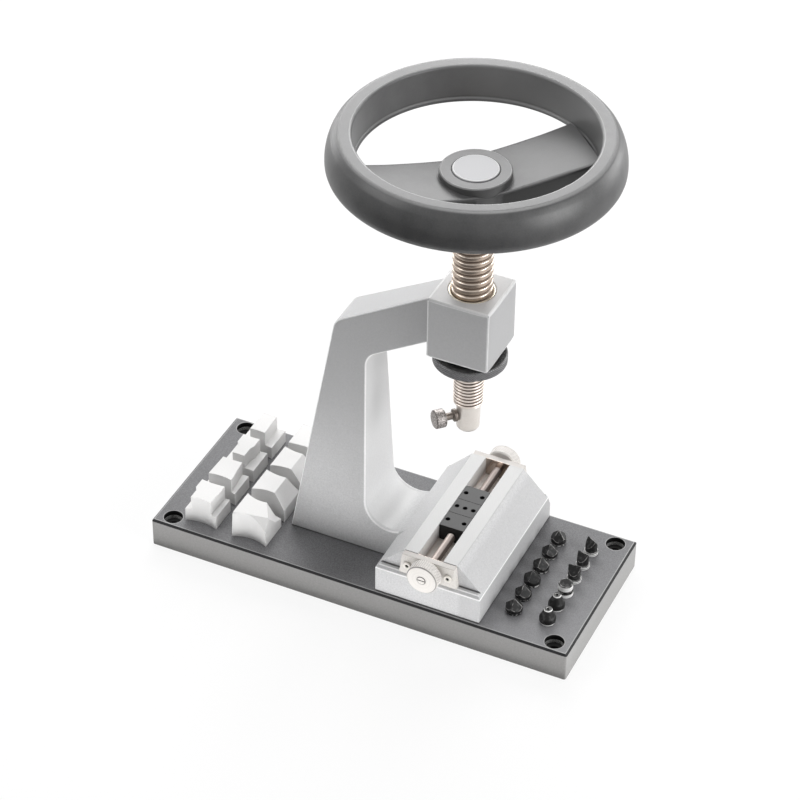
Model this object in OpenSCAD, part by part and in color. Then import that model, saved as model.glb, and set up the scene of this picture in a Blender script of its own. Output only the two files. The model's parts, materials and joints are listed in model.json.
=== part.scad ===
// Bench watch case opener: a cast C-frame with a self-centring vise, on a
// flat base plate, and a handwheel spindle that a threaded sleeve feeds down.
// X runs along the plate, Y goes away from the user, Z is up from the bench.

/* [Base plate] */
// length of the plate
plate_len = 301.4; // [294:0.2:360]
// depth of the plate, front to back
plate_dep = 122; // [118:1:160]
// thickness of the plate
plate_h = 21.4; // [16:0.2:30]
// radius of the plate's upright corners
plate_corner = 1.5; // [1:0.5:8]
// size of the bevel round the plate's top edge
plate_edge = 1.4; // [0.4:0.1:3]
// bench bolt holes, from the plate's left and right ends
bench_in_x = 12.05; // [11:0.05:20]
// bench bolt holes, from the plate's front and back edges
bench_in_y = 8.7; // [8.4:0.1:14]
// diameter of a bench bolt hole
bench_d = 6.6; // [4.5:0.1:9]
// diameter of the counterbore over a bench bolt hole
bench_cb_d = 13; // [9:0.5:14]
// depth of that counterbore
bench_cb_h = 7; // [3:0.5:12]

/* [Frame casting] */
// distance of the spindle axis from the middle of the plate
axis_x = 51.5; // [40:0.5:60]
// outer corner of the column's foot, from the middle of the plate
foot_x = -64.1; // [-70:0.1:-55]
// inner face of the column at the plate, from the middle of the plate
throat_x = -9.3; // [-16:0.1:-8]
// how far the column's outer face leans in, for each mm of height
column_lean = 0.16; // [0.05:0.002:0.2]
// how far the column's inner face leans out, for each mm of height
throat_lean = 0.027; // [0:0.001:0.08]
// half the column's depth at its foot
foot_half = 25.1; // [20:0.1:30]
// half the arm's depth at the height of the head's top
arm_half = 11.4; // [9:0.1:20]
// rise of the arm, for each mm along it
arm_rise = 0.585; // [0.3:0.005:0.65]
// height of the arm where it meets the head
arm_deep = 33.8; // [26:0.2:40]
// step from the head's top down to the arm's top edge
arm_drop = 4.9; // [0:0.1:7]
// radius of the throat's upper corner
throat_r = 12; // [6:0.5:18]
// radius of the throat's lower corner, that runs into the vise bed
throat_low_r = 18; // [12:0.5:22]
// radius of the column's outer top corner
shoulder_r = 11.5; // [4:0.5:20]
// width of the head block
head_w = 42; // [36:0.5:50]
// depth of the head block
head_d = 43.2; // [40:0.2:50]
// height of the head block
head_h = 44.7; // [34:0.1:56]
// top of the head above the bench
head_top = 238.2; // [220:0.2:250]
// rounding of the head's edges
head_r = 1.6; // [0.6:0.2:4]

/* [Vise bed] */
// half the width of the bed's foot
bed_half = 37; // [33:0.5:40]
// half the depth of the bed's foot
bed_dep_half = 58.4; // [54:0.2:59]
// height of the bed's straight side wall
bed_wall_h = 20.2; // [14:0.2:24]
// bevel on the foot's front and back top edges
bed_bevel = 2.1; // [1:0.1:3]
// half the width of the bed's flat top
bed_top_half = 18.7; // [16:0.1:24]
// top of the vise bed above the bench
bed_top = 60.3; // [56:0.1:66]
// width of the channel that the jaws run in
channel_w = 17.4; // [15:0.1:20]
// depth of that channel
channel_h = 12.3; // [11:0.1:16]
// length of the deeper pocket at the channel's rear end
pocket_len = 12; // [6:0.5:16]

/* [Vise screw and jaws] */
// diameter of the vise screw
screw_d = 6; // [5:0.5:7]
// diameter of its end journals
journal_d = 5; // [4:0.1:5.4]
// height of the vise screw's axis above the bench
screw_z = 52.2; // [51.8:0.1:53.4]
// length of one jaw block along the screw
jaw_len = 14.2; // [11:0.1:18]
// diameter of the pin holes in the jaws
pin_hole_d = 3.2; // [2.5:0.1:4]
// pin holes from the middle line, to each side
pin_off = 5.8; // [5:0.1:6.2]
// thickness of a thrust plate
thrust_t = 4.2; // [3:0.1:5]
// how far a thrust plate stands out of its seat
thrust_proud = 1.4; // [0.2:0.1:2]
// diameter of a vise knob
knob_d = 21.5; // [16:0.5:24]
// length of its knurled rim
knob_len = 8.3; // [5:0.1:12]
// length of the small hub between knob and thrust plate
knob_hub = 1.8; // [1:0.1:4]
// pitch of the vise screw, right-hand at the front, left-hand at the back
vise_pitch = 1; // [0.8:0.05:1.5]

/* [Feed and spindle] */
// outer diameter of the threaded feed sleeve
sleeve_d = 25.6; // [24:0.1:27]
// pitch of the feed thread
feed_pitch = 5; // [3:0.5:6]
// outer diameter of the bush in the head
bush_d = 29.5; // [29.5:0.5:36]
// lower end of the feed sleeve above the bench
sleeve_low = 183.4; // [176:0.1:188]
// upper end of the feed sleeve above the bench
sleeve_top = 300; // [280:0.5:304]
// diameter of the knurled feed ring
ring_d = 47.6; // [40:0.2:56]
// height of the feed ring
ring_h = 6.8; // [5:0.1:9]
// diameter of the spindle and of its threaded nose
spindle_d = 20; // [18:0.5:22]
// lower end of the threaded nose above the bench
nose_low = 150.5; // [146:0.5:156]
// diameter of the chuck socket below the nose
socket_d = 15.8; // [14:0.1:18]
// lower end of the chuck socket above the bench
socket_low = 130.2; // [126:0.2:134]
// bore that takes a chuck's shank
chuck_bore = 8; // [6:0.1:9]
// depth of that bore
chuck_bore_h = 16; // [14:0.5:18]
// height of the thumbscrew's axis above the bench
thumb_z = 141.2; // [138:0.2:144]
// direction of the thumbscrew round the spindle
thumb_a = 226; // [180:1:270]
// thickness of the thrust bearing under the hub
bearing_h = 8; // [6:0.5:10]
// outer diameter of its two washers
bearing_d = 34; // [30:0.5:40]
// thickness of one washer
washer_h = 2.4; // [1.5:0.1:2.5]

/* [Handwheel] */
// greatest radius of the rim
rim_r = 90.1; // [80:0.1:100]
// width of the rim across its flat top and bulge
rim_w = 16.4; // [13:0.1:22]
// top of the rim above the web at the hub
rim_over = 31.4; // [28:0.1:35]
// height of the rim
rim_h = 27.2; // [22:0.2:34]
// radius of the rim's bulging outer face
rim_bulge = 31; // [22:1:60]
// radius that rounds the rim's lower outer edge
rim_under_r = 7; // [2:0.5:7.5]
// half the width of the straight web across the wheel
web_half = 22.6; // [14:0.2:24]
// height of the hub under the web's top
hub_h = 13.4; // [13:0.1:18]
// rise of the web from hub to rim
web_rise = 9.3; // [4:0.1:14]
// how much wider the web is on each side where it meets the rim
web_flare = 1.8; // [0:0.1:6]
// depth of the web's side flanges at the hub
web_deep = 13; // [8:0.5:13]
// thickness of the web
web_t = 4; // [3:0.5:6]
// radius of the raised collar round the hub
collar_r = 22.2; // [18:0.1:26]
// height of the collar above the web
collar_h = 5.2; // [2:0.1:8]
// radius of the hub's cap
cap_r = 14.5; // [10:0.1:16]
// direction of the web, turned from the plate's length
web_a = 45; // [0:1:180]

/* [Holder blocks and chucks] */
// height of a holder block's base
block_base_h = 10; // [7:0.5:12]
// height of a whole holder block
block_h = 20.6; // [16:0.2:24]
// width of a stepped holder block's base
tee_w = 23; // [20:0.5:26]
// width of a slanted holder block's base
wedge_w = 25.2; // [21:0.2:28]
// length of a stepped holder block
tee_len = 21; // [18:0.1:24]
// length of a slanted holder block
wedge_len = 23; // [18:0.1:24.5]
// distance from one holder block to the next
block_pitch = 27.1; // [26:0.1:29]
// middle of the outer row of holder blocks, from the plate's left end
tee_in = 32.3; // [29:0.1:33]
// from the outer to the inner row of holder blocks
block_rows = 36.7; // [34:0.1:38]
// distance from one chuck to the next in a row
chuck_pitch = 14.8; // [13.5:0.1:16]
// outer row of chucks, from the plate's right end
chuck_in = 23.4; // [20:0.1:26]
// from the inner to the outer row of chucks
chuck_rows = 23.4; // [18:0.1:24]
// length of a chuck's shank
shank_h = 12; // [8:0.5:14]

/* [Hidden] */
$fn = 64;
bed_foot_top = plate_h + bed_wall_h;
channel_floor = bed_top - channel_h;
end_y = bed_dep_half - bed_bevel;
thrust_in = end_y + thrust_proud - thrust_t;
knob_y = end_y + thrust_proud + knob_hub;
slide_gap = 0.2;
run_gap = 0.1;
seat_gap = 0.05;
jaw_h = channel_h - slide_gap;
block_gap = 0.3;
jaw_shift = jaw_len + block_gap;
hub_low = sleeve_top + bearing_h + 2 * seat_gap;
web_hub_z = hub_low + hub_h;
rim_top = web_hub_z + rim_over;
rim_in = rim_r - rim_w;
bench_dx = plate_len - 2 * bench_in_x;
bench_dy = plate_dep - 2 * bench_in_y;
tee_x = tee_in - plate_len / 2;
wedge_x = tee_x + block_rows;
chuck_x2 = plate_len / 2 - chuck_in;
chuck_x1 = chuck_x2 - chuck_rows;
stud_d = 14;
nut_low = web_hub_z - 3.4;
cap_low = web_hub_z + collar_h - 2.2;
nut_pocket = 13;
head_low = head_top - head_h;
head_left = axis_x - head_w / 2;
row_y = [-1.5, -0.5, 0.5, 1.5];
chuck_y = [-2.5, -1.5, -0.5, 0.5, 1.5, 2.5];
shank_d = chuck_bore - 2 * run_gap;
peg_d = pin_hole_d - 2 * run_gap;
peg_h = 5;
bolt_d = 8;
column_bolts = [[foot_x + 17, 0], [throat_x - 9, 0]];
bed_bolts_y = [-32, 32];
thumb_d = 4;

// points of an arc, for profiles
function arc(cx, cy, r, a0, a1, n = 8) =
    [for (i = [0:n]) let (a = a0 + (a1 - a0) * i / n)
        [cx + r * cos(a), cy + r * sin(a)]];

// outline of a rectangle with round corners
function round_rect(w, d, r, n = 5) = concat(
    arc(w / 2 - r, d / 2 - r, r, 0, 90, n),
    arc(-w / 2 + r, d / 2 - r, r, 90, 180, n),
    arc(-w / 2 + r, -d / 2 + r, r, 180, 270, n),
    arc(w / 2 - r, -d / 2 + r, r, 270, 360, n));

// arc of radius r that rounds the corner b between a and c
function corner(a, b, c, r, n = 8) =
    let (u = (a - b) / norm(a - b), v = (c - b) / norm(c - b),
         half = acos(u * v) / 2,
         t = r / tan(half),
         m = b + (u + v) / norm(u + v) * r / sin(half),
         p = b + u * t - m, q = b + v * t - m,
         a0 = atan2(p[1], p[0]),
         turn = atan2(p[0] * q[1] - p[1] * q[0], p * q))
    [for (i = [0:n]) m + r * [cos(a0 + turn * i / n), sin(a0 + turn * i / n)]];

// crossing of the line through p along u with the line through q along v
function meet(p, u, q, v) =
    p + u * ((q[0] - p[0]) * v[1] - (q[1] - p[1]) * v[0])
        / (u[0] * v[1] - u[1] * v[0]);

// prism along Y from an outline given in X and Z
module along_y(points, half)
    translate([0, half, 0])
        rotate([90, 0, 0])
            linear_extrude(2 * half)
                polygon(points);

// prism along X from an outline given in Y and Z
module along_x(points, x0, x1)
    translate([x0, 0, 0])
        rotate([90, 0, 90])
            linear_extrude(x1 - x0)
                polygon(points);

// box with every edge rounded, centred on X and Y, standing on z
module soft_box(w, d, h, r, z)
    translate([0, 0, z])
        intersection() {
            linear_extrude(h)
                polygon(round_rect(w, d, r));
            translate([0, 0, h / 2])
                along_y(round_rect(w, h, r), d / 2);
            translate([0, 0, h / 2])
                along_x(round_rect(d, h, r), -w / 2, w / 2);
        }

// upright cylinder from z0 to z1
module rod(d, z0, z1)
    translate([0, 0, z0])
        cylinder(d = d, h = z1 - z0);

// base plate

module base_plate() {
    half = plate_len / 2;
    deep = plate_dep / 2;
    color("#5f5f61")
    difference() {
        intersection() {
            linear_extrude(plate_h)
                polygon(round_rect(plate_len, plate_dep, plate_corner));
            along_y([[-half, 0], [half, 0], [half, plate_h - plate_edge],
                [half - plate_edge, plate_h], [plate_edge - half, plate_h],
                [-half, plate_h - plate_edge]], deep + 1);
            along_x([[-deep, 0], [deep, 0], [deep, plate_h - plate_edge],
                [deep - plate_edge, plate_h], [plate_edge - deep, plate_h],
                [-deep, plate_h - plate_edge]], -half - 1, half + 1);
        }
        for (x = [-1, 1], y = [-1, 1])
            translate([x * bench_dx / 2, y * bench_dy / 2, 0]) {
                rod(bench_d, -1, plate_h + 1);
                rod(bench_cb_d, plate_h - bench_cb_h, plate_h + 1);
            }
        for (y = row_y, s = [-1, 1]) {
            translate([tee_x + s * pin_off, y * block_pitch, 0])
                rod(pin_hole_d, plate_h - peg_h - 1, plate_h + 1);
            translate([wedge_x + s * pin_off, y * block_pitch, 0])
                rod(pin_hole_d, plate_h - peg_h - 1, plate_h + 1);
        }
        for (x = [chuck_x1, chuck_x2], y = chuck_y)
            translate([x, y * chuck_pitch, 0])
                rod(chuck_bore, plate_h - shank_h - 1, plate_h + 1);
        for (p = column_bolts)
            translate([p[0], p[1], 0])
                bolt_hole();
        for (y = bed_bolts_y)
            translate([axis_x, y, 0])
                bolt_hole();
    }
}

module bolt_hole() {
    rod(bolt_d, -1, plate_h + 1);
    rod(bolt_d + 6, -1, bolt_d + 1);
}

// four socket screws that hold the casting from below
module frame_bolts() {
    color("#3a3a3a") {
        for (p = column_bolts)
            translate([p[0], p[1], 0])
                frame_bolt();
        for (y = bed_bolts_y)
            translate([axis_x, y, 0])
                frame_bolt();
    }
}

module frame_bolt()
    difference() {
        union() {
            rod(bolt_d, 1, plate_h + 14);
            rod(bolt_d + 5, 1, bolt_d + 1);
        }
        translate([0, 0, -1])
            cylinder(d = 7.4, h = 6, $fn = 6);
    }

// frame casting

// side outline of column and arm
function frame_outline() =
    let (foot = [foot_x, plate_h],
         outer = [column_lean, 1],
         inner = [-throat_lean, 1],
         rise = [1, arm_rise],
         over = [head_left, head_top - arm_drop],
         under = [head_left, head_top - arm_drop - arm_deep],
         apex = meet(foot, outer, over, rise),
         crook = meet([throat_x, plate_h], inner, under, rise),
         toe = [axis_x - bed_half, bed_foot_top],
         flank = [bed_half - bed_top_half, bed_top - bed_foot_top],
         heel = meet([throat_x, plate_h], inner, toe, flank))
    concat([foot],
        corner(foot, apex, over, shoulder_r),
        [over + 4 * rise, under + 4 * rise],
        corner(under, crook, heel, throat_r),
        corner(crook, heel, toe + flank, throat_low_r, 12),
        [[axis_x - 4, plate_h + 8], [axis_x - 4, plate_h]]);

// outline of the vise bed, seen from the front
function bed_outline() = [
    [axis_x - bed_half, plate_h], [axis_x + bed_half, plate_h],
    [axis_x + bed_half, bed_foot_top - 0.8],
    [axis_x + bed_half - 0.7, bed_foot_top],
    [axis_x + bed_top_half + 0.4, bed_top - 0.4],
    [axis_x + bed_top_half - 0.4, bed_top],
    [axis_x - bed_top_half + 0.4, bed_top],
    [axis_x - bed_top_half - 0.4, bed_top - 0.4],
    [axis_x - bed_half + 0.7, bed_foot_top],
    [axis_x - bed_half, bed_foot_top - 0.8]];

// side outline of the vise bed: a foot with bevels, and ends set back
function bed_ends() = [
    [-bed_dep_half, plate_h], [bed_dep_half, plate_h],
    [bed_dep_half, bed_foot_top], [end_y, bed_foot_top + bed_bevel],
    [end_y, bed_top], [-end_y, bed_top],
    [-end_y, bed_foot_top + bed_bevel], [-bed_dep_half, bed_foot_top]];

// outline of a thrust plate and of its seat
function thrust_outline(gap) =
    let (t = bed_top_half - 0.3 + gap, b = bed_top_half + 1.6 + gap,
         z0 = bed_foot_top + bed_bevel + 0.3 - gap,
         z1 = bed_top - 0.4 + gap * 30)
    [[axis_x - b, z0], [axis_x + b, z0],
     [axis_x + t, z1], [axis_x - t, z1]];

module frame_casting() {
    taper = (foot_half - arm_half) / (head_top - plate_h);
    color("#b4b4b4")
    difference() {
        union() {
            intersection() {
                along_y(frame_outline(), foot_half + 2);
                along_x([[-foot_half, plate_h], [foot_half, plate_h],
                    [arm_half, head_top], [-arm_half, head_top]],
                    foot_x - 2, axis_x + 1);
            }
            translate([axis_x, 0, 0])
                soft_box(head_w, head_d, head_h, head_r, head_low);
            intersection() {
                along_y(bed_outline(), bed_dep_half + 1);
                along_x(bed_ends(), axis_x - bed_half - 1,
                    axis_x + bed_half + 1);
            }
        }
        translate([axis_x, 0, 0])
            rod(bush_d, head_low - 1, head_top + 1);
        translate([axis_x - channel_w / 2, -end_y - 1, channel_floor])
            cube([channel_w, 2 * end_y + 2, channel_h + 1]);
        translate([axis_x - channel_w / 2, thrust_in - pocket_len,
            channel_floor - 1.6])
            cube([channel_w, pocket_len + 1, channel_h]);
        for (s = [-1, 1]) {
            translate([0, s * (thrust_in + thrust_t / 2 + 0.02), 0])
                along_y(thrust_outline(seat_gap), thrust_t / 2 + 0.02);
            translate([0, s * (thrust_in - 4), 0])
                for (x = [-1, 1])
                    translate([axis_x + x * thrust_hole_x(), 0,
                        thrust_hole_z()])
                        rotate([90, 0, 0])
                            cylinder(d = 3, h = 12, center = true);
        }
        for (s = [-1, 1])
            translate([axis_x + s * pin_off, 0, 0])
                rod(3, channel_floor - 5, channel_floor + 1);
        for (p = column_bolts)
            translate([p[0], p[1], 0])
                rod(bolt_d, plate_h - 1, plate_h + 15);
        for (y = bed_bolts_y)
            translate([axis_x, y, 0])
                rod(bolt_d, plate_h - 1, plate_h + 15);
    }
}

function thrust_hole_x() = bed_top_half - 4.4;
function thrust_hole_z() = screw_z - 0.6;

// vise screw, jaws and their holders

// rod along Y at the vise screw's height
module y_rod(d, y0, y1)
    translate([axis_x, y1, screw_z])
        rotate([90, 0, 0])
            cylinder(d = d, h = y1 - y0);

module vise_screw() {
    half = thrust_in - seat_gap;
    color("#c9c4bd")
    difference() {
        union() {
            y_rod(screw_d, -half, half);
            y_rod(journal_d, -knob_y - knob_len + 2.5, knob_y + knob_len - 2.5);
        }
        for (s = [-1, 1])
            y_rod(2.5, s * (knob_y + 1) - 6, s * (knob_y + 1) + 6);
    }
}

// one jaw block, its middle at y, with a bore for the screw
module jaw(y, holes, bore)
    translate([axis_x, y, 0])
        difference() {
            translate([-channel_w / 2 + slide_gap, -jaw_len / 2,
                bed_top - jaw_h])
                cube([channel_w - 2 * slide_gap, jaw_len, jaw_h]);
            translate([0, jaw_len, screw_z])
                rotate([90, 0, 0])
                    cylinder(d = bore, h = 2 * jaw_len);
            for (x = holes)
                translate([x, 0, 0])
                    rod(pin_hole_d, bed_top - peg_h - 1, bed_top + 1);
        }

module jaw_front()
    color("#3b3b3d")
        jaw(-jaw_shift, [-pin_off, pin_off], screw_d + 2 * run_gap);

module jaw_rear()
    color("#3b3b3d")
        jaw(jaw_shift, [-pin_off, pin_off], screw_d + 2 * run_gap);

// the middle block stays put on two dowels
module jaw_middle()
    color("#3b3b3d")
    difference() {
        jaw(0, [-pin_off, pin_off], screw_d + 1);
        translate([axis_x, 0, 0])
            rod(pin_hole_d, screw_z, bed_top + 1);
        for (s = [-1, 1])
            translate([axis_x + s * pin_off, 0, 0])
                rod(3, channel_floor - 1, channel_floor + 4);
    }

module jaw_dowels()
    color("#9a9a9a")
    for (s = [-1, 1])
        translate([axis_x + s * pin_off, 0, 0])
            rod(3, channel_floor - 4.8, channel_floor + 3.8);

// plate at one end of the bed that the screw turns in; s is its side
module thrust_plate(s)
    difference() {
        translate([0, s * (thrust_in + thrust_t / 2), 0])
            along_y(thrust_outline(0), thrust_t / 2);
        y_rod(journal_d + 2 * run_gap, s * thrust_in - 6, s * thrust_in + 6);
        for (x = [-1, 1])
            translate([axis_x + x * thrust_hole_x(), s * thrust_in,
                thrust_hole_z()])
                rotate([90, 0, 0])
                    cylinder(d = 3.2, h = 12, center = true);
    }

module thrust_plate_front()
    color("#d0cbc4")
        thrust_plate(-1);

module thrust_plate_rear()
    color("#d0cbc4")
        thrust_plate(1);

// the two cheese-head screws of one thrust plate
module plate_screws(s)
    for (x = [-1, 1])
        translate([axis_x + x * thrust_hole_x(),
            s * (thrust_in + thrust_t), thrust_hole_z()])
            rotate([s * -90, 0, 0])
                difference() {
                    union() {
                        rod(3, -thrust_t - 5.6, 0.2);
                        rod(5.2, 0, 1.5);
                    }
                    translate([0, 0, 0.8])
                        cylinder(d = 2.6, h = 2, $fn = 6);
                }

module plate_screws_front()
    color("#bdb8b0")
        plate_screws(-1);

module plate_screws_rear()
    color("#bdb8b0")
        plate_screws(1);

// knurled knob on one end of the vise screw
module knob(s) {
    front = knob_len + knob_hub;
    translate([axis_x, s * (end_y + thrust_proud), screw_z])
        rotate([s * -90, 0, 0])
            difference() {
                rotate_extrude()
                    polygon([[0, 0.2], [5, 0.2], [5, knob_hub],
                        [knob_d / 2 - 0.8, knob_hub],
                        [knob_d / 2, knob_hub + 0.8],
                        [knob_d / 2, front - 0.8],
                        [knob_d / 2 - 0.8, front], [0, front]]);
                rod(journal_d, -1, front - 2.4);
                rod(2.7, 0, front + 1);
                rod(6.4, front - 1.2, front + 1);
            }
}

module knob_front()
    color("#cfcac2")
        knob(-1);

module knob_rear()
    color("#cfcac2")
        knob(1);

// screw that clamps a knob on the end of the vise screw
module knob_screw(s) {
    front = knob_len + knob_hub;
    translate([axis_x, s * (end_y + thrust_proud), screw_z])
        rotate([s * -90, 0, 0])
            difference() {
                union() {
                    rod(2.5, front - 8, front);
                    rod(5.6, front - 1.2, front + 0.5);
                }
                translate([-3, -0.4, front - 0.3])
                    cube([6, 0.8, 2]);
            }
}

module knob_screw_front()
    color("#b9b4ac")
        knob_screw(-1);

module knob_screw_rear()
    color("#b9b4ac")
        knob_screw(1);

// feed

// bush in the head that the sleeve screws through
module feed_bush()
    color("#a89a80")
    translate([axis_x, 0, 0])
        rotate_extrude()
            polygon([[sleeve_d / 2 + run_gap + 0.9, head_top - 0.3],
                [sleeve_d / 2 + run_gap, head_top - 1.2],
                [sleeve_d / 2 + run_gap, head_low + 1.2],
                [sleeve_d / 2 + run_gap + 0.9, head_low + 0.3],
                [bush_d / 2, head_low + 0.3],
                [bush_d / 2, head_top - 0.3]]);

module feed_sleeve()
    color("#b7b0a4")
    translate([axis_x, 0, 0])
        rotate_extrude()
            polygon([[spindle_d / 2 + run_gap, sleeve_low],
                [sleeve_d / 2 - 0.8, sleeve_low],
                [sleeve_d / 2, sleeve_low + 0.8],
                [sleeve_d / 2, sleeve_top - 0.8],
                [sleeve_d / 2 - 0.8, sleeve_top],
                [spindle_d / 2 + run_gap, sleeve_top]]);

// knurled ring clamped on the sleeve's lower end, turned by hand
module feed_ring()
    color("#1f2123")
    translate([axis_x, 0, 0])
        difference() {
            rotate_extrude()
                polygon([[sleeve_d / 2, sleeve_low],
                    [ring_d / 2 - 1, sleeve_low],
                    [ring_d / 2, sleeve_low + 1],
                    [ring_d / 2, sleeve_low + ring_h - 1],
                    [ring_d / 2 - 1, sleeve_low + ring_h],
                    [sleeve_d / 2, sleeve_low + ring_h]]);
            ring_hole(4);
        }

module ring_hole(d)
    translate([0, 0, sleeve_low + ring_h / 2])
        rotate([90, 0, 90])
            cylinder(d = d, h = ring_d);

// grub screw that locks the ring to the sleeve
module ring_screw()
    color("#2b2b2b")
    translate([axis_x + sleeve_d / 2, 0, sleeve_low + ring_h / 2])
        rotate([90, 0, 90])
            difference() {
                cylinder(d = 4, h = (ring_d - sleeve_d) / 2 - 2);
                translate([0, 0, (ring_d - sleeve_d) / 2 - 4.5])
                    cylinder(d = 2.2, h = 4, $fn = 6);
            }

// two washers with a ball cage between them, on top of the sleeve
module thrust_bearing()
    color("#b0b0b0")
    translate([axis_x, 0, sleeve_top + seat_gap])
        rotate_extrude()
            polygon([[spindle_d / 2 + slide_gap, 0], [bearing_d / 2, 0],
                [bearing_d / 2, washer_h], [bearing_d / 2 - 1.4, washer_h],
                [bearing_d / 2 - 1.4, bearing_h - washer_h],
                [bearing_d / 2, bearing_h - washer_h],
                [bearing_d / 2, bearing_h],
                [spindle_d / 2 + slide_gap, bearing_h]]);

// spindle

// turned spindle: stud for the wheel, plain shank, threaded nose, socket
module spindle()
    color("#c4bfb8")
    translate([axis_x, 0, 0])
        difference() {
            rotate_extrude()
                polygon([[0, socket_low], [socket_d / 2 - 1.4, socket_low],
                    [socket_d / 2 - 0.4, socket_low + 1.4],
                    [socket_d / 2, nose_low],
                    [spindle_d / 2 - 1, nose_low],
                    [spindle_d / 2, nose_low + 1],
                    [spindle_d / 2, hub_low],
                    [stud_d / 2, hub_low],
                    [stud_d / 2, cap_low - 0.9],
                    [stud_d / 2 - 0.9, cap_low], [0, cap_low]]);
            rod(chuck_bore, socket_low - 1, socket_low + chuck_bore_h);
            translate([0, 0, thumb_z])
                rotate([90, 0, thumb_a + 90])
                    cylinder(d = thumb_d + 2 * run_gap, h = socket_d);
        }

// knurled screw that clamps a chuck in the socket
module thumb_screw()
    color("#7e7872")
    translate([axis_x, 0, thumb_z])
        rotate([90, 0, thumb_a + 90])
            rotate_extrude()
                polygon([[0, 4.4], [thumb_d / 2, 4.4],
                    [thumb_d / 2, socket_d / 2 + 0.3],
                    [4.2, socket_d / 2 + 0.3], [4.2, socket_d / 2 + 2.4],
                    [2.4, socket_d / 2 + 3.2], [2.4, 16.2],
                    [5.2, 16.2], [6.2, 17.2], [6.2, 22.8],
                    [5.2, 24], [0, 24.4]]);

// handwheel

// cross-section of the rim, bulging outward, flat on top
function rim_section() =
    let (low = rim_top - rim_h,
         cx = rim_r - rim_bulge,
         cz = rim_top - 0.7 * rim_h,
         a0 = asin((rim_top - 0.6 - cz) / rim_bulge),
         edge = cx + rim_bulge * cos(a0))
    concat([[rim_in + 1.2, rim_top], [edge - 1, rim_top]],
        arc(cx, cz, rim_bulge, a0, 0, 12),
        corner([rim_r, cz], [rim_r - 0.2, low], [rim_in, low], rim_under_r),
        [[rim_in + 2, low], [rim_in - 1.2, low + 2.2],
         [rim_in - 1.2, low + 3.2], [rim_in, low + 4.4],
         [rim_in, rim_top - 1.2]]);

// cross-section of the dished web between hub and rim, whose flanges run
// out in the rim's lower edge
function web_section() =
    let (r1 = rim_in + 1)
    [[10, web_hub_z], [collar_r, web_hub_z], [r1, web_hub_z + web_rise],
     [r1, rim_top - rim_h + 0.4], [rim_in, rim_top - rim_h + 0.4],
     [collar_r + 8, web_hub_z - web_deep],
     [10, web_hub_z - web_deep]];

// outline of the web from above, inset by t; it flares out to the rim
function web_plan(t) =
    let (r = rim_in + 1, m = rim_in * 0.72,
         w = web_half - t, e = w + web_flare)
    [[-r, -e], [-m, -w], [m, -w], [r, -e],
     [r, e], [m, w], [-m, w], [-r, e]];

module handwheel() {
    flange = 4;
    top = web_hub_z + collar_h;
    color("#3f4042")
    translate([axis_x, 0, 0])
    difference() {
        union() {
            rotate_extrude($fn = 128)
                polygon(rim_section());
            intersection() {
                rotate_extrude($fn = 128)
                    polygon(web_section());
                rotate([0, 0, web_a])
                    translate([0, 0, web_hub_z - 30])
                        linear_extrude(60)
                            polygon(web_plan(0));
            }
            rotate_extrude()
                polygon([[0, hub_low], [bearing_d / 2, hub_low],
                    [bearing_d / 2 + 3, web_hub_z - 4],
                    [collar_r, web_hub_z - 3], [collar_r, top - 0.8],
                    [collar_r - 0.8, top], [0, top]]);
        }
        intersection() {
            rotate_extrude()
                polygon([[24, web_hub_z - web_deep - 5],
                    [24, web_hub_z - web_t],
                    [rim_in - 4, web_hub_z + web_rise - web_t - 0.4],
                    [rim_in - 4, web_hub_z - web_deep - 5]]);
            rotate([0, 0, web_a])
                translate([0, 0, web_hub_z - 40])
                    linear_extrude(60)
                        polygon(web_plan(flange));
        }
        rod(stud_d, hub_low - 1, top);
        rod(2 * nut_pocket, nut_low, top + 1);
        rod(2 * cap_r + 0.3, cap_low, top + 1);
    }
}

// nut that clamps the wheel on the spindle, under the cap
module hub_nut()
    color("#a8a8a8")
    translate([axis_x, 0, 0])
        difference() {
            translate([0, 0, nut_low])
                cylinder(d = 23, h = cap_low - nut_low - 1, $fn = 6);
            rod(stud_d, nut_low - 1, cap_low + 1);
        }

// round cap pressed in the hub
module hub_cap()
    color("#d9d9d8")
    translate([axis_x, 0, 0])
        rotate_extrude()
            polygon([[0, cap_low], [cap_r, cap_low],
                [cap_r, cap_low + 2.4], [cap_r - 0.7, cap_low + 3.1],
                [0, cap_low + 3.1]]);

// holder blocks

// plan of a block whose near and far ends are hollowed that deep
function hollow_plan(w, len, near, far) =
    let (rn = (w * w / 4 + near * near) / (2 * near),
         rf = (w * w / 4 + far * far) / (2 * far),
         an = asin(w / 2 / rn),
         af = asin(w / 2 / rf))
    concat(arc(0, -len / 2 - rn + near, rn, 90 + an, 90 - an, 10),
        arc(0, len / 2 + rf - far, rf, 270 + af, 270 - af, 10));

// two pegs under a block, for the plate or the vise jaws
module pegs()
    for (s = [-1, 1])
        translate([s * pin_off, 0, 0])
            rod(peg_d, plate_h - peg_h, plate_h + 2);

// stepped block: broad base and an upright whose sides stand at n0 and n1
// in the near half, at f0 and f1 in the far half
module tee_block(i, n0, n1, f0, f1, turn, near, far)
    color("#f2f2f0")
    translate([tee_x, row_y[i] * block_pitch, 0]) {
        pegs();
        intersection() {
            translate([0, 0, plate_h])
                linear_extrude(block_h)
                    polygon(hollow_plan(tee_w, tee_len, near, far));
            union() {
                translate([-tee_w / 2, -tee_len, plate_h])
                    cube([tee_w, 2 * tee_len, block_base_h]);
                translate([0, 0, plate_h])
                    linear_extrude(block_h)
                        polygon([[n0, -tee_len], [n1, -tee_len], [n1, -turn],
                            [f1, turn], [f1, tee_len], [f0, tee_len],
                            [f0, turn], [n0, -turn]]);
            }
        }
    }

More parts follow.
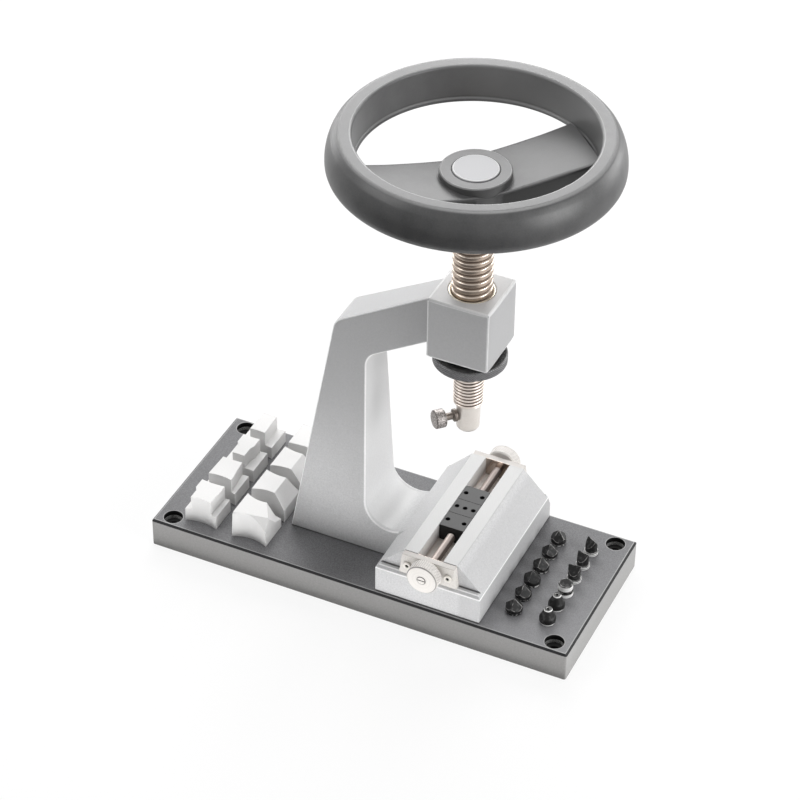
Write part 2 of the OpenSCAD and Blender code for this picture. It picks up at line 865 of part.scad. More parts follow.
// slanted block: one flank falls away from the top to the base, and runs
// across the block at the angle skew
module wedge_block(i, top_w, skew, near, far)
    color("#f2f2f0")
    translate([wedge_x, row_y[i] * block_pitch, 0]) {
        pegs();
        intersection() {
            translate([0, 0, plate_h])
                linear_extrude(block_h)
                    polygon(hollow_plan(wedge_w, wedge_len, near, far));
            along_y([[-wedge_w / 2, plate_h], [wedge_w / 2, plate_h],
                [wedge_w / 2, plate_h + block_h],
                [0.8 - wedge_w / 2, plate_h + block_h]], wedge_len);
            rotate([0, 0, skew])
                along_y([[-wedge_w, plate_h], [wedge_w, plate_h],
                    [wedge_w / 2, plate_h + block_base_h],
                    [top_w - wedge_w / 2, plate_h + block_h],
                    [-wedge_w, plate_h + block_h]], wedge_len);
        }
    }

module block_1()
    tee_block(0, -7.5, 7.4, -9.3, 7.9, 1.5, 2.3, 1);

module block_2()
    tee_block(1, -8.5, 8.6, -7.9, 6.8, 8, 2.2, 0.5);

module block_3()
    tee_block(2, -4.4, 4.6, -6.6, 6, 1.6, 0.5, 0.5);

module block_4()
    tee_block(3, -5.6, 5.8, -5, 5.4, 8, 1.4, 0.5);

// the nearest slanted block is cut back at its near upper corner too
module block_5()
    difference() {
        wedge_block(0, 20, 31, 3.2, 4.2);
        translate([wedge_x + wedge_w / 2,
            row_y[0] * block_pitch - wedge_len / 2,
            plate_h + block_base_h])
            rotate([0, 57.5, -79.5])
                translate([-wedge_w, -wedge_w, 0.8])
                    cube([2 * wedge_w, 2 * wedge_w, block_h]);
    }

module block_6()
    wedge_block(1, 16.6, 0, 3.4, 2.5);

module block_7()
    wedge_block(2, 15.4, 0, 2.8, 2.5);

module block_8()
    wedge_block(3, 14.5, 0, 1.2, 1);

// chucks

// round foot and shank that every chuck has, standing in its hole
module chuck_foot(x, i, d, h)
    translate([x, chuck_y[i] * chuck_pitch, 0]) {
        rod(shank_d, plate_h - shank_h, plate_h + 1);
        translate([0, 0, plate_h])
            cylinder(d = d, h = h);
    }

// gable whose ridge runs along Y, from z 0 up to h, sides low high
module gable(w, low, h)
    along_y([[-w, 0], [w, 0], [w, low], [0, h], [-w, low]], w);

// chuck with a four-sided point
module point_chuck(x, i, d, h, turn)
    color("#202020") {
        chuck_foot(x, i, d - 1, 1.6);
        translate([x, chuck_y[i] * chuck_pitch, plate_h + 1.2])
            intersection() {
                rotate_extrude()
                    polygon([[0, 0], [d / 2 - 0.6, 0], [d / 2, 0.6],
                        [d / 2, 0.62 * h], [d / 2 - 1, 0.7 * h],
                        [0.8, h - 1.2], [0, h - 1.2]]);
                rotate([0, 0, turn])
                    gable(d / 2, 0.25 * h, h - 1.2);
                rotate([0, 0, turn + 90])
                    gable(d / 2, 0.25 * h, h - 1.2);
            }
    }

// chuck with two slanted faces that meet in a ridge, above a bright collar
module ridge_chuck(x, i, d, h, turn)
    color("#262626") {
        chuck_foot(x, i, d, 2.6);
        translate([x, chuck_y[i] * chuck_pitch, plate_h + 2.4])
            rotate([0, 0, turn])
                intersection() {
                    cylinder(d = d - 1.6, h = h - 2.4);
                    gable(d / 2, 0.2 * h, h - 2.4);
                }
    }

// chuck with a cone and a small hole in its top
module cone_chuck(x, i, d, h)
    color("#202020")
    difference() {
        union() {
            chuck_foot(x, i, d - 1.6, 2);
            translate([x, chuck_y[i] * chuck_pitch, plate_h + 1.2])
                rotate_extrude()
                    polygon([[0, 0], [d / 2 - 0.5, 0], [d / 2, 0.6],
                        [d / 2, 3.4], [d / 2 - 1, 5.4], [2.4, h - 1.2],
                        [0, h - 1.2]]);
        }
        translate([x, chuck_y[i] * chuck_pitch, 0])
            rod(2.6, plate_h + h - 4, plate_h + h + 1);
    }

// chuck with a stepped flat top
module step_chuck(x, i, d, h)
    color("#262626") {
        chuck_foot(x, i, d, 3);
        translate([x, chuck_y[i] * chuck_pitch, plate_h + 2.8])
            rotate_extrude()
                polygon([[0, 0], [d / 2 - 1.4, 0], [d / 2 - 1.4, 1.4],
                    [d / 2 - 0.4, 2.2], [d / 2 - 0.4, h - 3.2],
                    [d / 2 - 1, h - 2.8], [0, h - 2.8]]);
    }

module chuck_1()
    point_chuck(chuck_x1, 0, 11.4, 10.6, 45);

module chuck_2()
    point_chuck(chuck_x1, 1, 11.2, 10.6, 45);

module chuck_3()
    point_chuck(chuck_x1, 2, 11.2, 11, 40);

module chuck_4()
    point_chuck(chuck_x1, 3, 11, 11, 45);

module chuck_5()
    point_chuck(chuck_x1, 4, 10.8, 10.6, 45);

module chuck_6()
    point_chuck(chuck_x1, 5, 10.4, 11, 20);

module chuck_7()
    cone_chuck(chuck_x2, 0, 11, 11.6);

module chuck_8()
    cone_chuck(chuck_x2, 1, 11, 11.6);

module chuck_9()
    step_chuck(chuck_x2, 2, 10.4, 9.4);

module chuck_10()
    ridge_chuck(chuck_x2, 3, 10, 13, 96);

module chuck_11()
    ridge_chuck(chuck_x2, 4, 9.6, 12, 76);

module chuck_12()
    ridge_chuck(chuck_x2, 5, 9.6, 12, 60);

base_plate();
frame_bolts();
frame_casting();
vise_screw();
jaw_front();
jaw_rear();
jaw_middle();
jaw_dowels();
thrust_plate_front();
thrust_plate_rear();
plate_screws_front();
plate_screws_rear();
knob_front();
knob_rear();
knob_screw_front();
knob_screw_rear();
feed_bush();
feed_sleeve();
feed_ring();
ring_screw();
thrust_bearing();
spindle();
thumb_screw();
handwheel();
hub_nut();
hub_cap();
block_1();
block_2();
block_3();
block_4();
block_5();
block_6();
block_7();
block_8();
chuck_1();
chuck_2();
chuck_3();
chuck_4();
chuck_5();
chuck_6();
chuck_7();
chuck_8();
chuck_9();
chuck_10();
chuck_11();
chuck_12();
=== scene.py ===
import json

import bmesh
import bpy
import numpy as np
from mathutils import Matrix


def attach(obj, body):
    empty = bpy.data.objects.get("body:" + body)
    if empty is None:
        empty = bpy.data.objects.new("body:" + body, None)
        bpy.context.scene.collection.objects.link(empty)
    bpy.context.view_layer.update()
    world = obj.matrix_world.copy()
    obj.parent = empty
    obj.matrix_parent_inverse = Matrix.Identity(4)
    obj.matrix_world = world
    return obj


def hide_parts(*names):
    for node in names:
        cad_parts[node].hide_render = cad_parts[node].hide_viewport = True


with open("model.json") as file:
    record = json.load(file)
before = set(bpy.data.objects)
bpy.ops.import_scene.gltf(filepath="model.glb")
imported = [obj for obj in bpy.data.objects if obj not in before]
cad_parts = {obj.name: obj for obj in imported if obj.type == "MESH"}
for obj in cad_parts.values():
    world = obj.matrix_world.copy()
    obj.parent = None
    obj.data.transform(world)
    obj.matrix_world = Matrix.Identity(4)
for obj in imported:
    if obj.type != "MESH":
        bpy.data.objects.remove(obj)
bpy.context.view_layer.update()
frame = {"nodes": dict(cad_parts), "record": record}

# ---------------------------------------------------------------- base plate
# The base is a flat bar of aluminium, blasted and finished dark grey, with
# its milled sides left bright. Four counterbored holes take bench screws, and
# rows of small holes hold the pegs of the blocks and the chucks' shanks.

MM = 0.001
PLATE_HALF = (150.7, 61.0)
PLATE_TOP = 21.4
BENCH_HOLE = (138.65, 52.3)
BODY_OF = {node: body
           for body, nodes in frame["record"]["behaviour"]["bodies"].items()
           for node in nodes}


class Wire:
    """A value in a shader; arithmetic on it adds Math nodes."""

    def __init__(self, shader, socket):
        self.shader = shader
        self.socket = socket

    def __add__(self, other):
        return self.shader.math("ADD", self, other)

    def __radd__(self, other):
        return self.shader.math("ADD", other, self)

    def __sub__(self, other):
        return self.shader.math("SUBTRACT", self, other)

    def __rsub__(self, other):
        return self.shader.math("SUBTRACT", other, self)

    def __mul__(self, other):
        return self.shader.math("MULTIPLY", self, other)

    def __rmul__(self, other):
        return self.shader.math("MULTIPLY", other, self)

    def __pow__(self, other):
        return self.shader.math("POWER", self, other)

    def __abs__(self):
        return self.shader.math("ABSOLUTE", self)


class Shader:
    """The nodes of a material or world; node() adds any node to them."""

    def __init__(self, holder):
        holder.use_nodes = True
        self.holder = holder
        self.tree = holder.node_tree
        self.tree.nodes.clear()

    def node(self, kind, settings=(), sockets=(), out=0):
        """Adds a node from its type, settings and socket values or wires."""
        node = self.tree.nodes.new(kind)
        for key, value in dict(settings).items():
            setattr(node, key, value)
        for key, value in dict(sockets).items():
            if isinstance(value, Wire):
                self.tree.links.new(value.socket, node.inputs[key])
            else:
                node.inputs[key].default_value = value
        return Wire(self, node.outputs[out]) if out is not None else None

    def math(self, operation, *values):
        """One step of arithmetic on numbers and wires."""
        return self.node("ShaderNodeMath", {"operation": operation},
                         dict(enumerate(values)))

    def most(self, first, *others):
        """The largest of the values."""
        for other in others:
            first = self.math("MAXIMUM", first, other)
        return first


class Finish(Shader):
    """A material in the making: x, y and z are its place in millimetres."""

    def __init__(self, name):
        super().__init__(bpy.data.materials.new(name))
        self.place = self.node("ShaderNodeTexCoord", out="Object")
        self.x, self.y, self.z = (
            self.node("ShaderNodeSeparateXYZ", sockets={0: self.place},
                      out=axis) * 1000.0 for axis in "XYZ")

    def step(self, value, low, high):
        """0 where value is below low, 1 above high, smooth between."""
        return self.node("ShaderNodeMapRange",
                         {"interpolation_type": "SMOOTHSTEP"},
                         {0: value, 1: low, 2: high})

    def band(self, value, low, high, soft):
        """1 where value lies between low and high, 0 outside, and smooth
        over soft to each side of both."""
        return (self.step(value, low - soft, low + soft)
                - self.step(value, high - soft, high + soft))

    def cloud(self, size, detail, rough):
        """Noise from 0 to 1 whose blobs are size mm wide."""
        return self.node("ShaderNodeTexNoise", {}, {
            "Vector": self.place, "Scale": 1000.0 / size, "Detail": detail,
            "Roughness": rough})

    def lines(self, value, size):
        """Noise along one value, as a tool leaves when it feeds along."""
        return self.node("ShaderNodeTexNoise", {"noise_dimensions": "1D"}, {
            "W": value, "Scale": 1.0 / size, "Detail": 3.0})

    def hatch(self, slant, size):
        """Lines that cross, at slant to each side of the x direction."""
        return (0.5 * self.lines(self.x + slant * self.y, size)
                + 0.5 * self.lines(self.x - slant * self.y, size))

    def blend(self, share, first, second):
        """The first colour where share is 0, and the second where it is 1;
        one number stands for a neutral grey."""
        return self.node("ShaderNodeMix", {"data_type": "RGBA"}, {
            0: share, 6: full(first), 7: full(second)}, out=2)

    def laid(self, base, *coats):
        """The base with colours laid over it in turn, each by its share."""
        for share, colour in coats:
            base = self.blend(share, base, colour)
        return base

    def away(self, across, along):
        """The distance from where both are zero."""
        return (across * across + along * along) ** 0.5

    def done(self, colour, rough, metal=0.0, relief=None, specular=0.5):
        """Ends the material; relief is a height in millimetres."""
        sockets = {"Base Color": full(colour), "Roughness": rough,
                   "Metallic": metal, "Specular IOR Level": specular}
        if relief is not None:
            sockets["Normal"] = self.node("ShaderNodeBump", {}, {
                "Strength": 1.0, "Distance": MM, "Height": relief})
        surface = self.node("ShaderNodeBsdfPrincipled", {}, sockets)
        self.node("ShaderNodeOutputMaterial", {}, {"Surface": surface},
                  out=None)
        return self.holder


def full(colour):
    """A grey or a colour with its alpha, or the wire as it is."""
    if isinstance(colour, Wire):
        return colour
    return (*np.broadcast_to(colour, 3).tolist(), 1.0)


def placed(name, data):
    """A new object at the origin of the scene."""
    piece = bpy.data.objects.new(name, data)
    bpy.context.scene.collection.objects.link(piece)
    return piece


def flat_faces(piece):
    """Turns each normal the way of the larger faces beside it."""
    piece.modifiers.new("flats", "WEIGHTED_NORMAL").keep_sharp = True


def eased_edges(piece, width):
    """Rounds the edges sharper than 28 degrees and keeps the flats flat."""
    bevel = piece.modifiers.new("edges", "BEVEL")
    bevel.width = width * MM
    bevel.segments = 3
    bevel.limit_method = "ANGLE"
    bevel.angle_limit = np.radians(28.0)
    flat_faces(piece)


def cleaned(mesh, flat=0.3):
    """Merges doubles, joins coplanar faces and points all faces outwards."""
    work = bmesh.new()
    work.from_mesh(mesh)
    bmesh.ops.remove_doubles(work, verts=work.verts, dist=2e-6)
    bmesh.ops.dissolve_degenerate(work, edges=work.edges, dist=1e-6)
    if flat:
        bmesh.ops.dissolve_limit(work, angle_limit=np.radians(flat),
                                 verts=work.verts, edges=work.edges)
    bmesh.ops.recalc_face_normals(work, faces=work.faces)
    work.to_mesh(mesh)
    work.free()
    mesh.shade_smooth()


def fitted(piece, material, node):
    """Gives a piece its finish and lets it stand for the CAD node."""
    piece.data.materials.clear()
    piece.data.materials.append(material)
    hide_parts(node)
    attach(piece, BODY_OF[node])


def dressed(node, width, material, wear_and_highlight=None):
    """The CAD node's own shape with its edges eased, and a second finish of
    wear and painted edge highlight on the eased edges if asked.
    """
    mesh = frame["nodes"][node].data.copy()
    piece = placed(node + "_shown", mesh)
    cleaned(mesh)
    eased_edges(piece, width)
    fitted(piece, material, node)
    if wear_and_highlight:
        mesh.materials.append(wear_and_highlight)
        piece.modifiers["edges"].material = 1


def plate_finish():
    """Dark blasted top painted paler towards the front right as painted light;
    the chamfer painted black as painted shade, with a thin light line above it
    that is wear and painted highlight; bright milled sides, the right one
    painted paler as painted light; and counterbores with a painted highlight
    round the rim, bare walls whose speckle is partly painted glint, and a
    through hole painted black as painted shade."""
    f = Finish("plate_dark_grey")
    half_x, half_y = PLATE_HALF
    margin = f.math("MINIMUM", half_x - abs(f.x), half_y - abs(f.y))
    on_top = f.step(f.z, PLATE_TOP - 0.18, PLATE_TOP - 0.06)
    # The chamfer round the top is painted near black as painted shade.
    shaded_chamfer = f.step(f.z, 19.85, 20.05) * (1.0 - on_top)
    # A thin light line along the top's edge is wear and a painted highlight.
    wear_and_highlight = on_top * f.band(margin, 1.3, 1.85, 0.12)
    # The right side face is painted paler than the front as painted light.
    right = f.step(f.x, half_x - 0.5, half_x - 0.2)
    grain = f.cloud(0.8, 3.0, 0.65)
    patch = f.cloud(60.0, 2.0, 0.5)
    marks = f.cloud(1.3, 4.0, 0.7)
    speck = 0.55 * f.step(grain, 0.32, 0.68) + 0.45 * patch
    # The top is painted paler towards the front right as painted light.
    lit_front_right = f.step(f.x - f.y, 60.0, 190.0)
    dark = f.blend(speck, (0.090, 0.090, 0.093), (0.215, 0.215, 0.222))
    dark = f.blend(0.35 * lit_front_right, dark, (0.28, 0.28, 0.29))
    milled = f.blend(marks, (0.185, 0.183, 0.180), (0.31, 0.305, 0.30))
    lit_right_side = f.blend(marks, (0.26, 0.258, 0.255), (0.42, 0.415, 0.41))
    # The through hole is painted black as painted shade, the counterbore's rim
    # carries a painted highlight, and its bare wall's speckle is partly
    # painted glint.
    hole = f.away(abs(f.x) - BENCH_HOLE[0], abs(f.y) - BENCH_HOLE[1])
    in_hole = 1.0 - f.step(hole, 6.85, 7.0)
    shaded_through_hole = f.step(hole, 3.6, 3.8) * (1.0 - f.step(f.z, 17.2, 17.8))
    lip = f.band(hole, 6.45, 7.0, 0.1) * f.step(f.z, 20.95, 21.1)
    bare_ring = f.blend(f.step(grain, 0.35, 0.65), 0.22, (0.62, 0.62, 0.61))
    bore = f.blend(f.step(f.z, 14.5, 15.0), 0.03, bare_ring)
    bore = f.laid(f.blend(shaded_through_hole, 0.006, bore), (lip, 0.34))
    bare = (1.0 - on_top) * (1.0 - shaded_chamfer)
    return f.done(f.laid(milled, (right, lit_right_side), (on_top, dark),
                         (shaded_chamfer, (0.010, 0.010, 0.011)),
                         (wear_and_highlight * (0.45 + 0.5 * grain), 0.42),
                         (in_hole, bore)),
                  0.55 + 0.12 * grain - 0.08 * bare, 0.25 * bare,
                  0.022 * grain * on_top + 0.010 * marks * bare,
                  specular=0.3)


dressed("base_plate", 0.35, plate_finish())

# -------------------------------------------------------- frame bolts, dowels
# Steel cap screws hold the casting from below the plate, steel dowels hold
# the middle jaw, a grub screw the ring and a nut the wheel. They are bought
# parts with a plain bright finish.


def kept(node, material):
    """Leaves the CAD node's shape and changes only its finish."""
    mesh = frame["nodes"][node].data
    mesh.materials.clear()
    mesh.materials.append(material)


def screw_steel():
    """Bright zinc-plated steel with a soft mottle."""
    f = Finish("screw_steel")
    mottle = f.cloud(1.6, 3.0, 0.6)
    return f.done(f.blend(mottle, (0.52, 0.50, 0.47), (0.66, 0.64, 0.60)),
                  0.26 + 0.12 * mottle, 1.0, 0.01 * mottle)


bright_steel = screw_steel()
for node in ("frame_bolts", "jaw_dowels", "ring_screw", "hub_nut"):
    kept(node, bright_steel)

# ------------------------------------------------------------- frame casting
# The frame is one aluminium casting: a leaning column that bends into an arm,
# a square head with a bored hole for the feed, and the vise bed with its
# machined channel. It is sprayed silver-grey over a fine cast grain.

AXIS = (51.5, 0.0, 0.0)
COLUMN_EDGE = 1.7
COLUMN_HALF = (25.1, 11.4)
ARM_RISE = 0.585
ARM_OVER, ARM_UNDER = (30.5, 233.3), (30.5, 199.5)
INNER_FOOT = (-9.3, PLATE_TOP)
HEAD_HALF = (21.0, 21.6)
HEAD_Z = (193.5, 238.2)
BED_SHELF, BED_TOP, LAND_HALF = 43.7, 60.3, 18.7


def grid(name, points, closed_rows=False, closed_columns=True, caps=False,
         flat=0.0):
    """A mesh over points[row, column] in millimetres: quads join each point
    to its neighbours, and a cap closes each end row with one face."""
    rows, columns = points.shape[:2]
    number = np.arange(rows * columns).reshape(rows, columns)
    if closed_rows:
        number = np.vstack([number, number[:1]])
    if closed_columns:
        number = np.hstack([number, number[:, :1]])
    quads = np.stack([number[:-1, :-1], number[:-1, 1:],
                      number[1:, 1:], number[1:, :-1]], -1).reshape(-1, 4)
    faces = quads.tolist()
    if caps:
        faces += [number[0, :columns][::-1].tolist(),
                  number[-1, :columns].tolist()]
    mesh = bpy.data.meshes.new(name)
    mesh.from_pydata((points.reshape(-1, 3) * MM).tolist(), [], faces)
    cleaned(mesh, flat)
    return placed(name, mesh)


def eased(profile, radius, steps, closed=False):
    """The profile with rounded corners: each becomes a parabola from a cut
    before it to a cut after it, of the radius or 0.45 of the shorter side."""
    corner = np.asarray(profile, float)
    before = np.roll(corner, 1, 0) - corner
    after = np.roll(corner, -1, 0) - corner
    long_b = np.linalg.norm(before, axis=1, keepdims=True)
    long_a = np.linalg.norm(after, axis=1, keepdims=True)
    reach = np.broadcast_to(np.atleast_1d(radius), len(corner))[:, None]
    cut = np.minimum(reach, 0.45 * np.minimum(long_b, long_a))
    start = (corner + before / long_b * cut)[:, None]
    end = (corner + after / long_a * cut)[:, None]
    t = np.linspace(0.0, 1.0, steps + 1)[None, :, None]
    curve = ((1 - t) ** 2 * start + 2 * t * (1 - t) * corner[:, None]
             + t ** 2 * end)
    if closed:
        return curve.reshape(-1, 2)
    return np.vstack([corner[:1], curve[1:-1].reshape(-1, 2), corner[-1:]])


def meeting(first, along_first, second, along_second):
    """The point where two lines cross, each a point and a direction."""
    steps = np.linalg.solve(
        np.array([along_first, -np.asarray(along_second)]).T,
        np.asarray(second, float) - first)
    return np.asarray(first, float) + steps[0] * np.asarray(along_first)


def bend(before, corner, after, radius, steps=12):
    """An arc of that radius that touches both sides of a corner."""
    before, corner, after = (np.asarray(p, float)
                             for p in (before, corner, after))
    a = (before - corner) / np.linalg.norm(before - corner)
    b = (after - corner) / np.linalg.norm(after - corner)
    half = 0.5 * np.arccos(np.clip(a @ b, -1.0, 1.0))
    centre = corner + (a + b) / np.linalg.norm(a + b) * radius / np.sin(half)
    start = corner + a * radius / np.tan(half) - centre
    end = corner + b * radius / np.tan(half) - centre
    turn = np.arctan2(start[0] * end[1] - start[1] * end[0], start @ end)
    angle = np.linspace(0.0, turn, steps + 1)[:, None]
    side = np.array([-start[1], start[0]])
    return centre + start * np.cos(angle) + side * np.sin(angle)


def inward(outline, distance):
    """The closed outline moved to its inside by a distance, with mitres."""
    side = np.roll(outline, -1, 0) - outline
    side /= np.linalg.norm(side, axis=1, keepdims=True)
    normal = np.stack([-side[:, 1], side[:, 0]], 1)
    previous = np.roll(normal, 1, 0)
    mitre = (normal + previous) / (
        1.0 + np.sum(normal * previous, 1, keepdims=True))
    area = np.sum(outline[:, 0] * np.roll(outline[:, 1], -1)
                  - outline[:, 1] * np.roll(outline[:, 0], -1))
    return outline + mitre * distance * np.sign(area)


def half_depth(z):
    """Half the casting's depth at a height: it falls evenly from the foot to
    the top of the head."""
    foot, top = COLUMN_HALF
    return foot - (z - PLATE_TOP) * ((foot - top) / (HEAD_Z[1] - PLATE_TOP))


def column_and_arm():
    """The outline of column and arm, carried from front to back over the
    depth at each height, with a quarter circle round both rims."""
    rise = np.array([1.0, ARM_RISE])
    outer, inner = np.array([0.16, 1.0]), np.array([-0.027, 1.0])
    foot = np.array([-64.1, PLATE_TOP])
    over, under = np.array(ARM_OVER), np.array(ARM_UNDER)
    toe, flank = np.array([14.5, 41.6]), np.array([18.3, 18.7])
    into_head = 4.0 * rise
    apex = meeting(foot, outer, over, rise)
    heel = meeting(toe, flank, INNER_FOOT, inner)
    crook = meeting(under, rise, INNER_FOOT, inner)
    outline = np.vstack([
        foot[None], bend(foot, apex, over, 11.5),
        (over + into_head)[None], (under + into_head)[None],
        bend(under, crook, heel, 12.0),
        bend(crook, heel, toe + flank, 18.0),
        [[47.5, 29.4]], [[47.5, PLATE_TOP]]])
    angle = np.radians(np.linspace(0.0, 90.0, 7))
    inset = COLUMN_EDGE * (1.0 - np.sin(angle))
    back = COLUMN_EDGE * (1.0 - np.cos(angle))
    rings = []
    for side, order in ((-1.0, slice(None)), (1.0, slice(None, None, -1))):
        for move, less in zip(inset[order], back[order]):
            ring = inward(outline, move)
            depth = half_depth(ring[:, 1]) - less
            rings.append(np.stack([ring[:, 0], side * depth, ring[:, 1]], 1))
    return np.array(rings)


def head_block():
    """The head: from the bore's lower rim up the bore, out over the top, down
    the square sides and back. Each ring pairs the bore's points with those of
    the rounded square at the same angle; quarter circles round the rims."""
    span = np.linspace(-1.0, 1.0, 25)[:-1]
    one = np.ones_like(span)
    square = np.concatenate([
        np.stack([span, -one], 1), np.stack([one, span], 1),
        np.stack([-span, one], 1), np.stack([-one, -span], 1)])
    reach = np.maximum(np.abs(square).sum(1) - 1.0, 0.0)
    square = square * (1.0 - 0.022 * reach[:, None] ** 6)
    angle = np.arctan2(square[:, 1], square[:, 0])
    circle = np.stack([np.cos(angle), np.sin(angle)], 1)
    low, high = HEAD_Z
    turn = np.radians(np.linspace(0.0, 90.0, 6))
    edge = 1.6
    moves = edge * (1.0 - np.sin(turn))
    drops = edge * (1.0 - np.cos(turn))
    half = np.array(HEAD_HALF)
    bore, mouth, chamfer = 14.76, 15.3, 0.5
    rings = [(circle * mouth, low), (circle * bore, low + chamfer),
             (circle * bore, high - chamfer), (circle * mouth, high)]
    rings += [(square * (half - m), high - d) for m, d in zip(moves, drops)]
    rings += [(square * (half - m), low + d)
              for m, d in zip(moves[::-1], drops[::-1])]
    return np.array([
        np.column_stack([ring + AXIS[:2], np.full(len(ring), z)])
        for ring, z in rings])


def vise_bed():
    """The bed's cross-section carried from front to back: the foot alone at
    both ends, the full section with its channel between them, and a channel
    1.6 deeper near the back, where the foot slopes down."""
    wide, knee, channel, ground = 37.0, 41.6, 8.7, 48.0
    full_half = np.array([[wide, PLATE_TOP], [wide, knee],
                          [34.94, BED_SHELF], [LAND_HALF, BED_TOP],
                          [channel, BED_TOP], [channel, ground],
                          [channel, ground]])
    deep_half = full_half.copy()
    deep_half[6, 1] = ground - 1.6
    foot_half = full_half.copy()
    foot_half[3:, 0] = [26.0, 10.0, 7.0, 6.0]
    foot_half[3:, 1] = BED_SHELF
    end_half = foot_half.copy()
    end_half[2:, 1] = knee
    end_half[2, 0] = wide
    back_half = end_half.copy()
    back_half[1:, 1] = 33.0
    stations = [(-58.4, end_half), (-56.3, foot_half), (-53.5, foot_half),
                (-53.5, full_half), (41.5, full_half), (41.5, deep_half),
                (53.5, deep_half), (53.5, foot_half), (54.0, foot_half),
                (58.4, back_half)]
    rings = []
    for y, half in stations:
        both = np.vstack([half * [-1.0, 1.0], half[::-1]])
        rings.append(np.column_stack([both[:, 0] + AXIS[0],
                                      np.full(len(both), y), both[:, 1]]))
    return np.array(rings)


def joined(name, *pieces):
    """One mesh from several closed shells, in the order given."""
    work = bmesh.new()
    for piece in pieces:
        work.from_mesh(piece.data)
    mesh = bpy.data.meshes.new(name)
    work.to_mesh(mesh)
    work.free()
    mesh.shade_smooth()
    for piece in pieces:
        old = piece.data
        bpy.data.objects.remove(piece)
        bpy.data.meshes.remove(old)
    return placed(name, mesh)


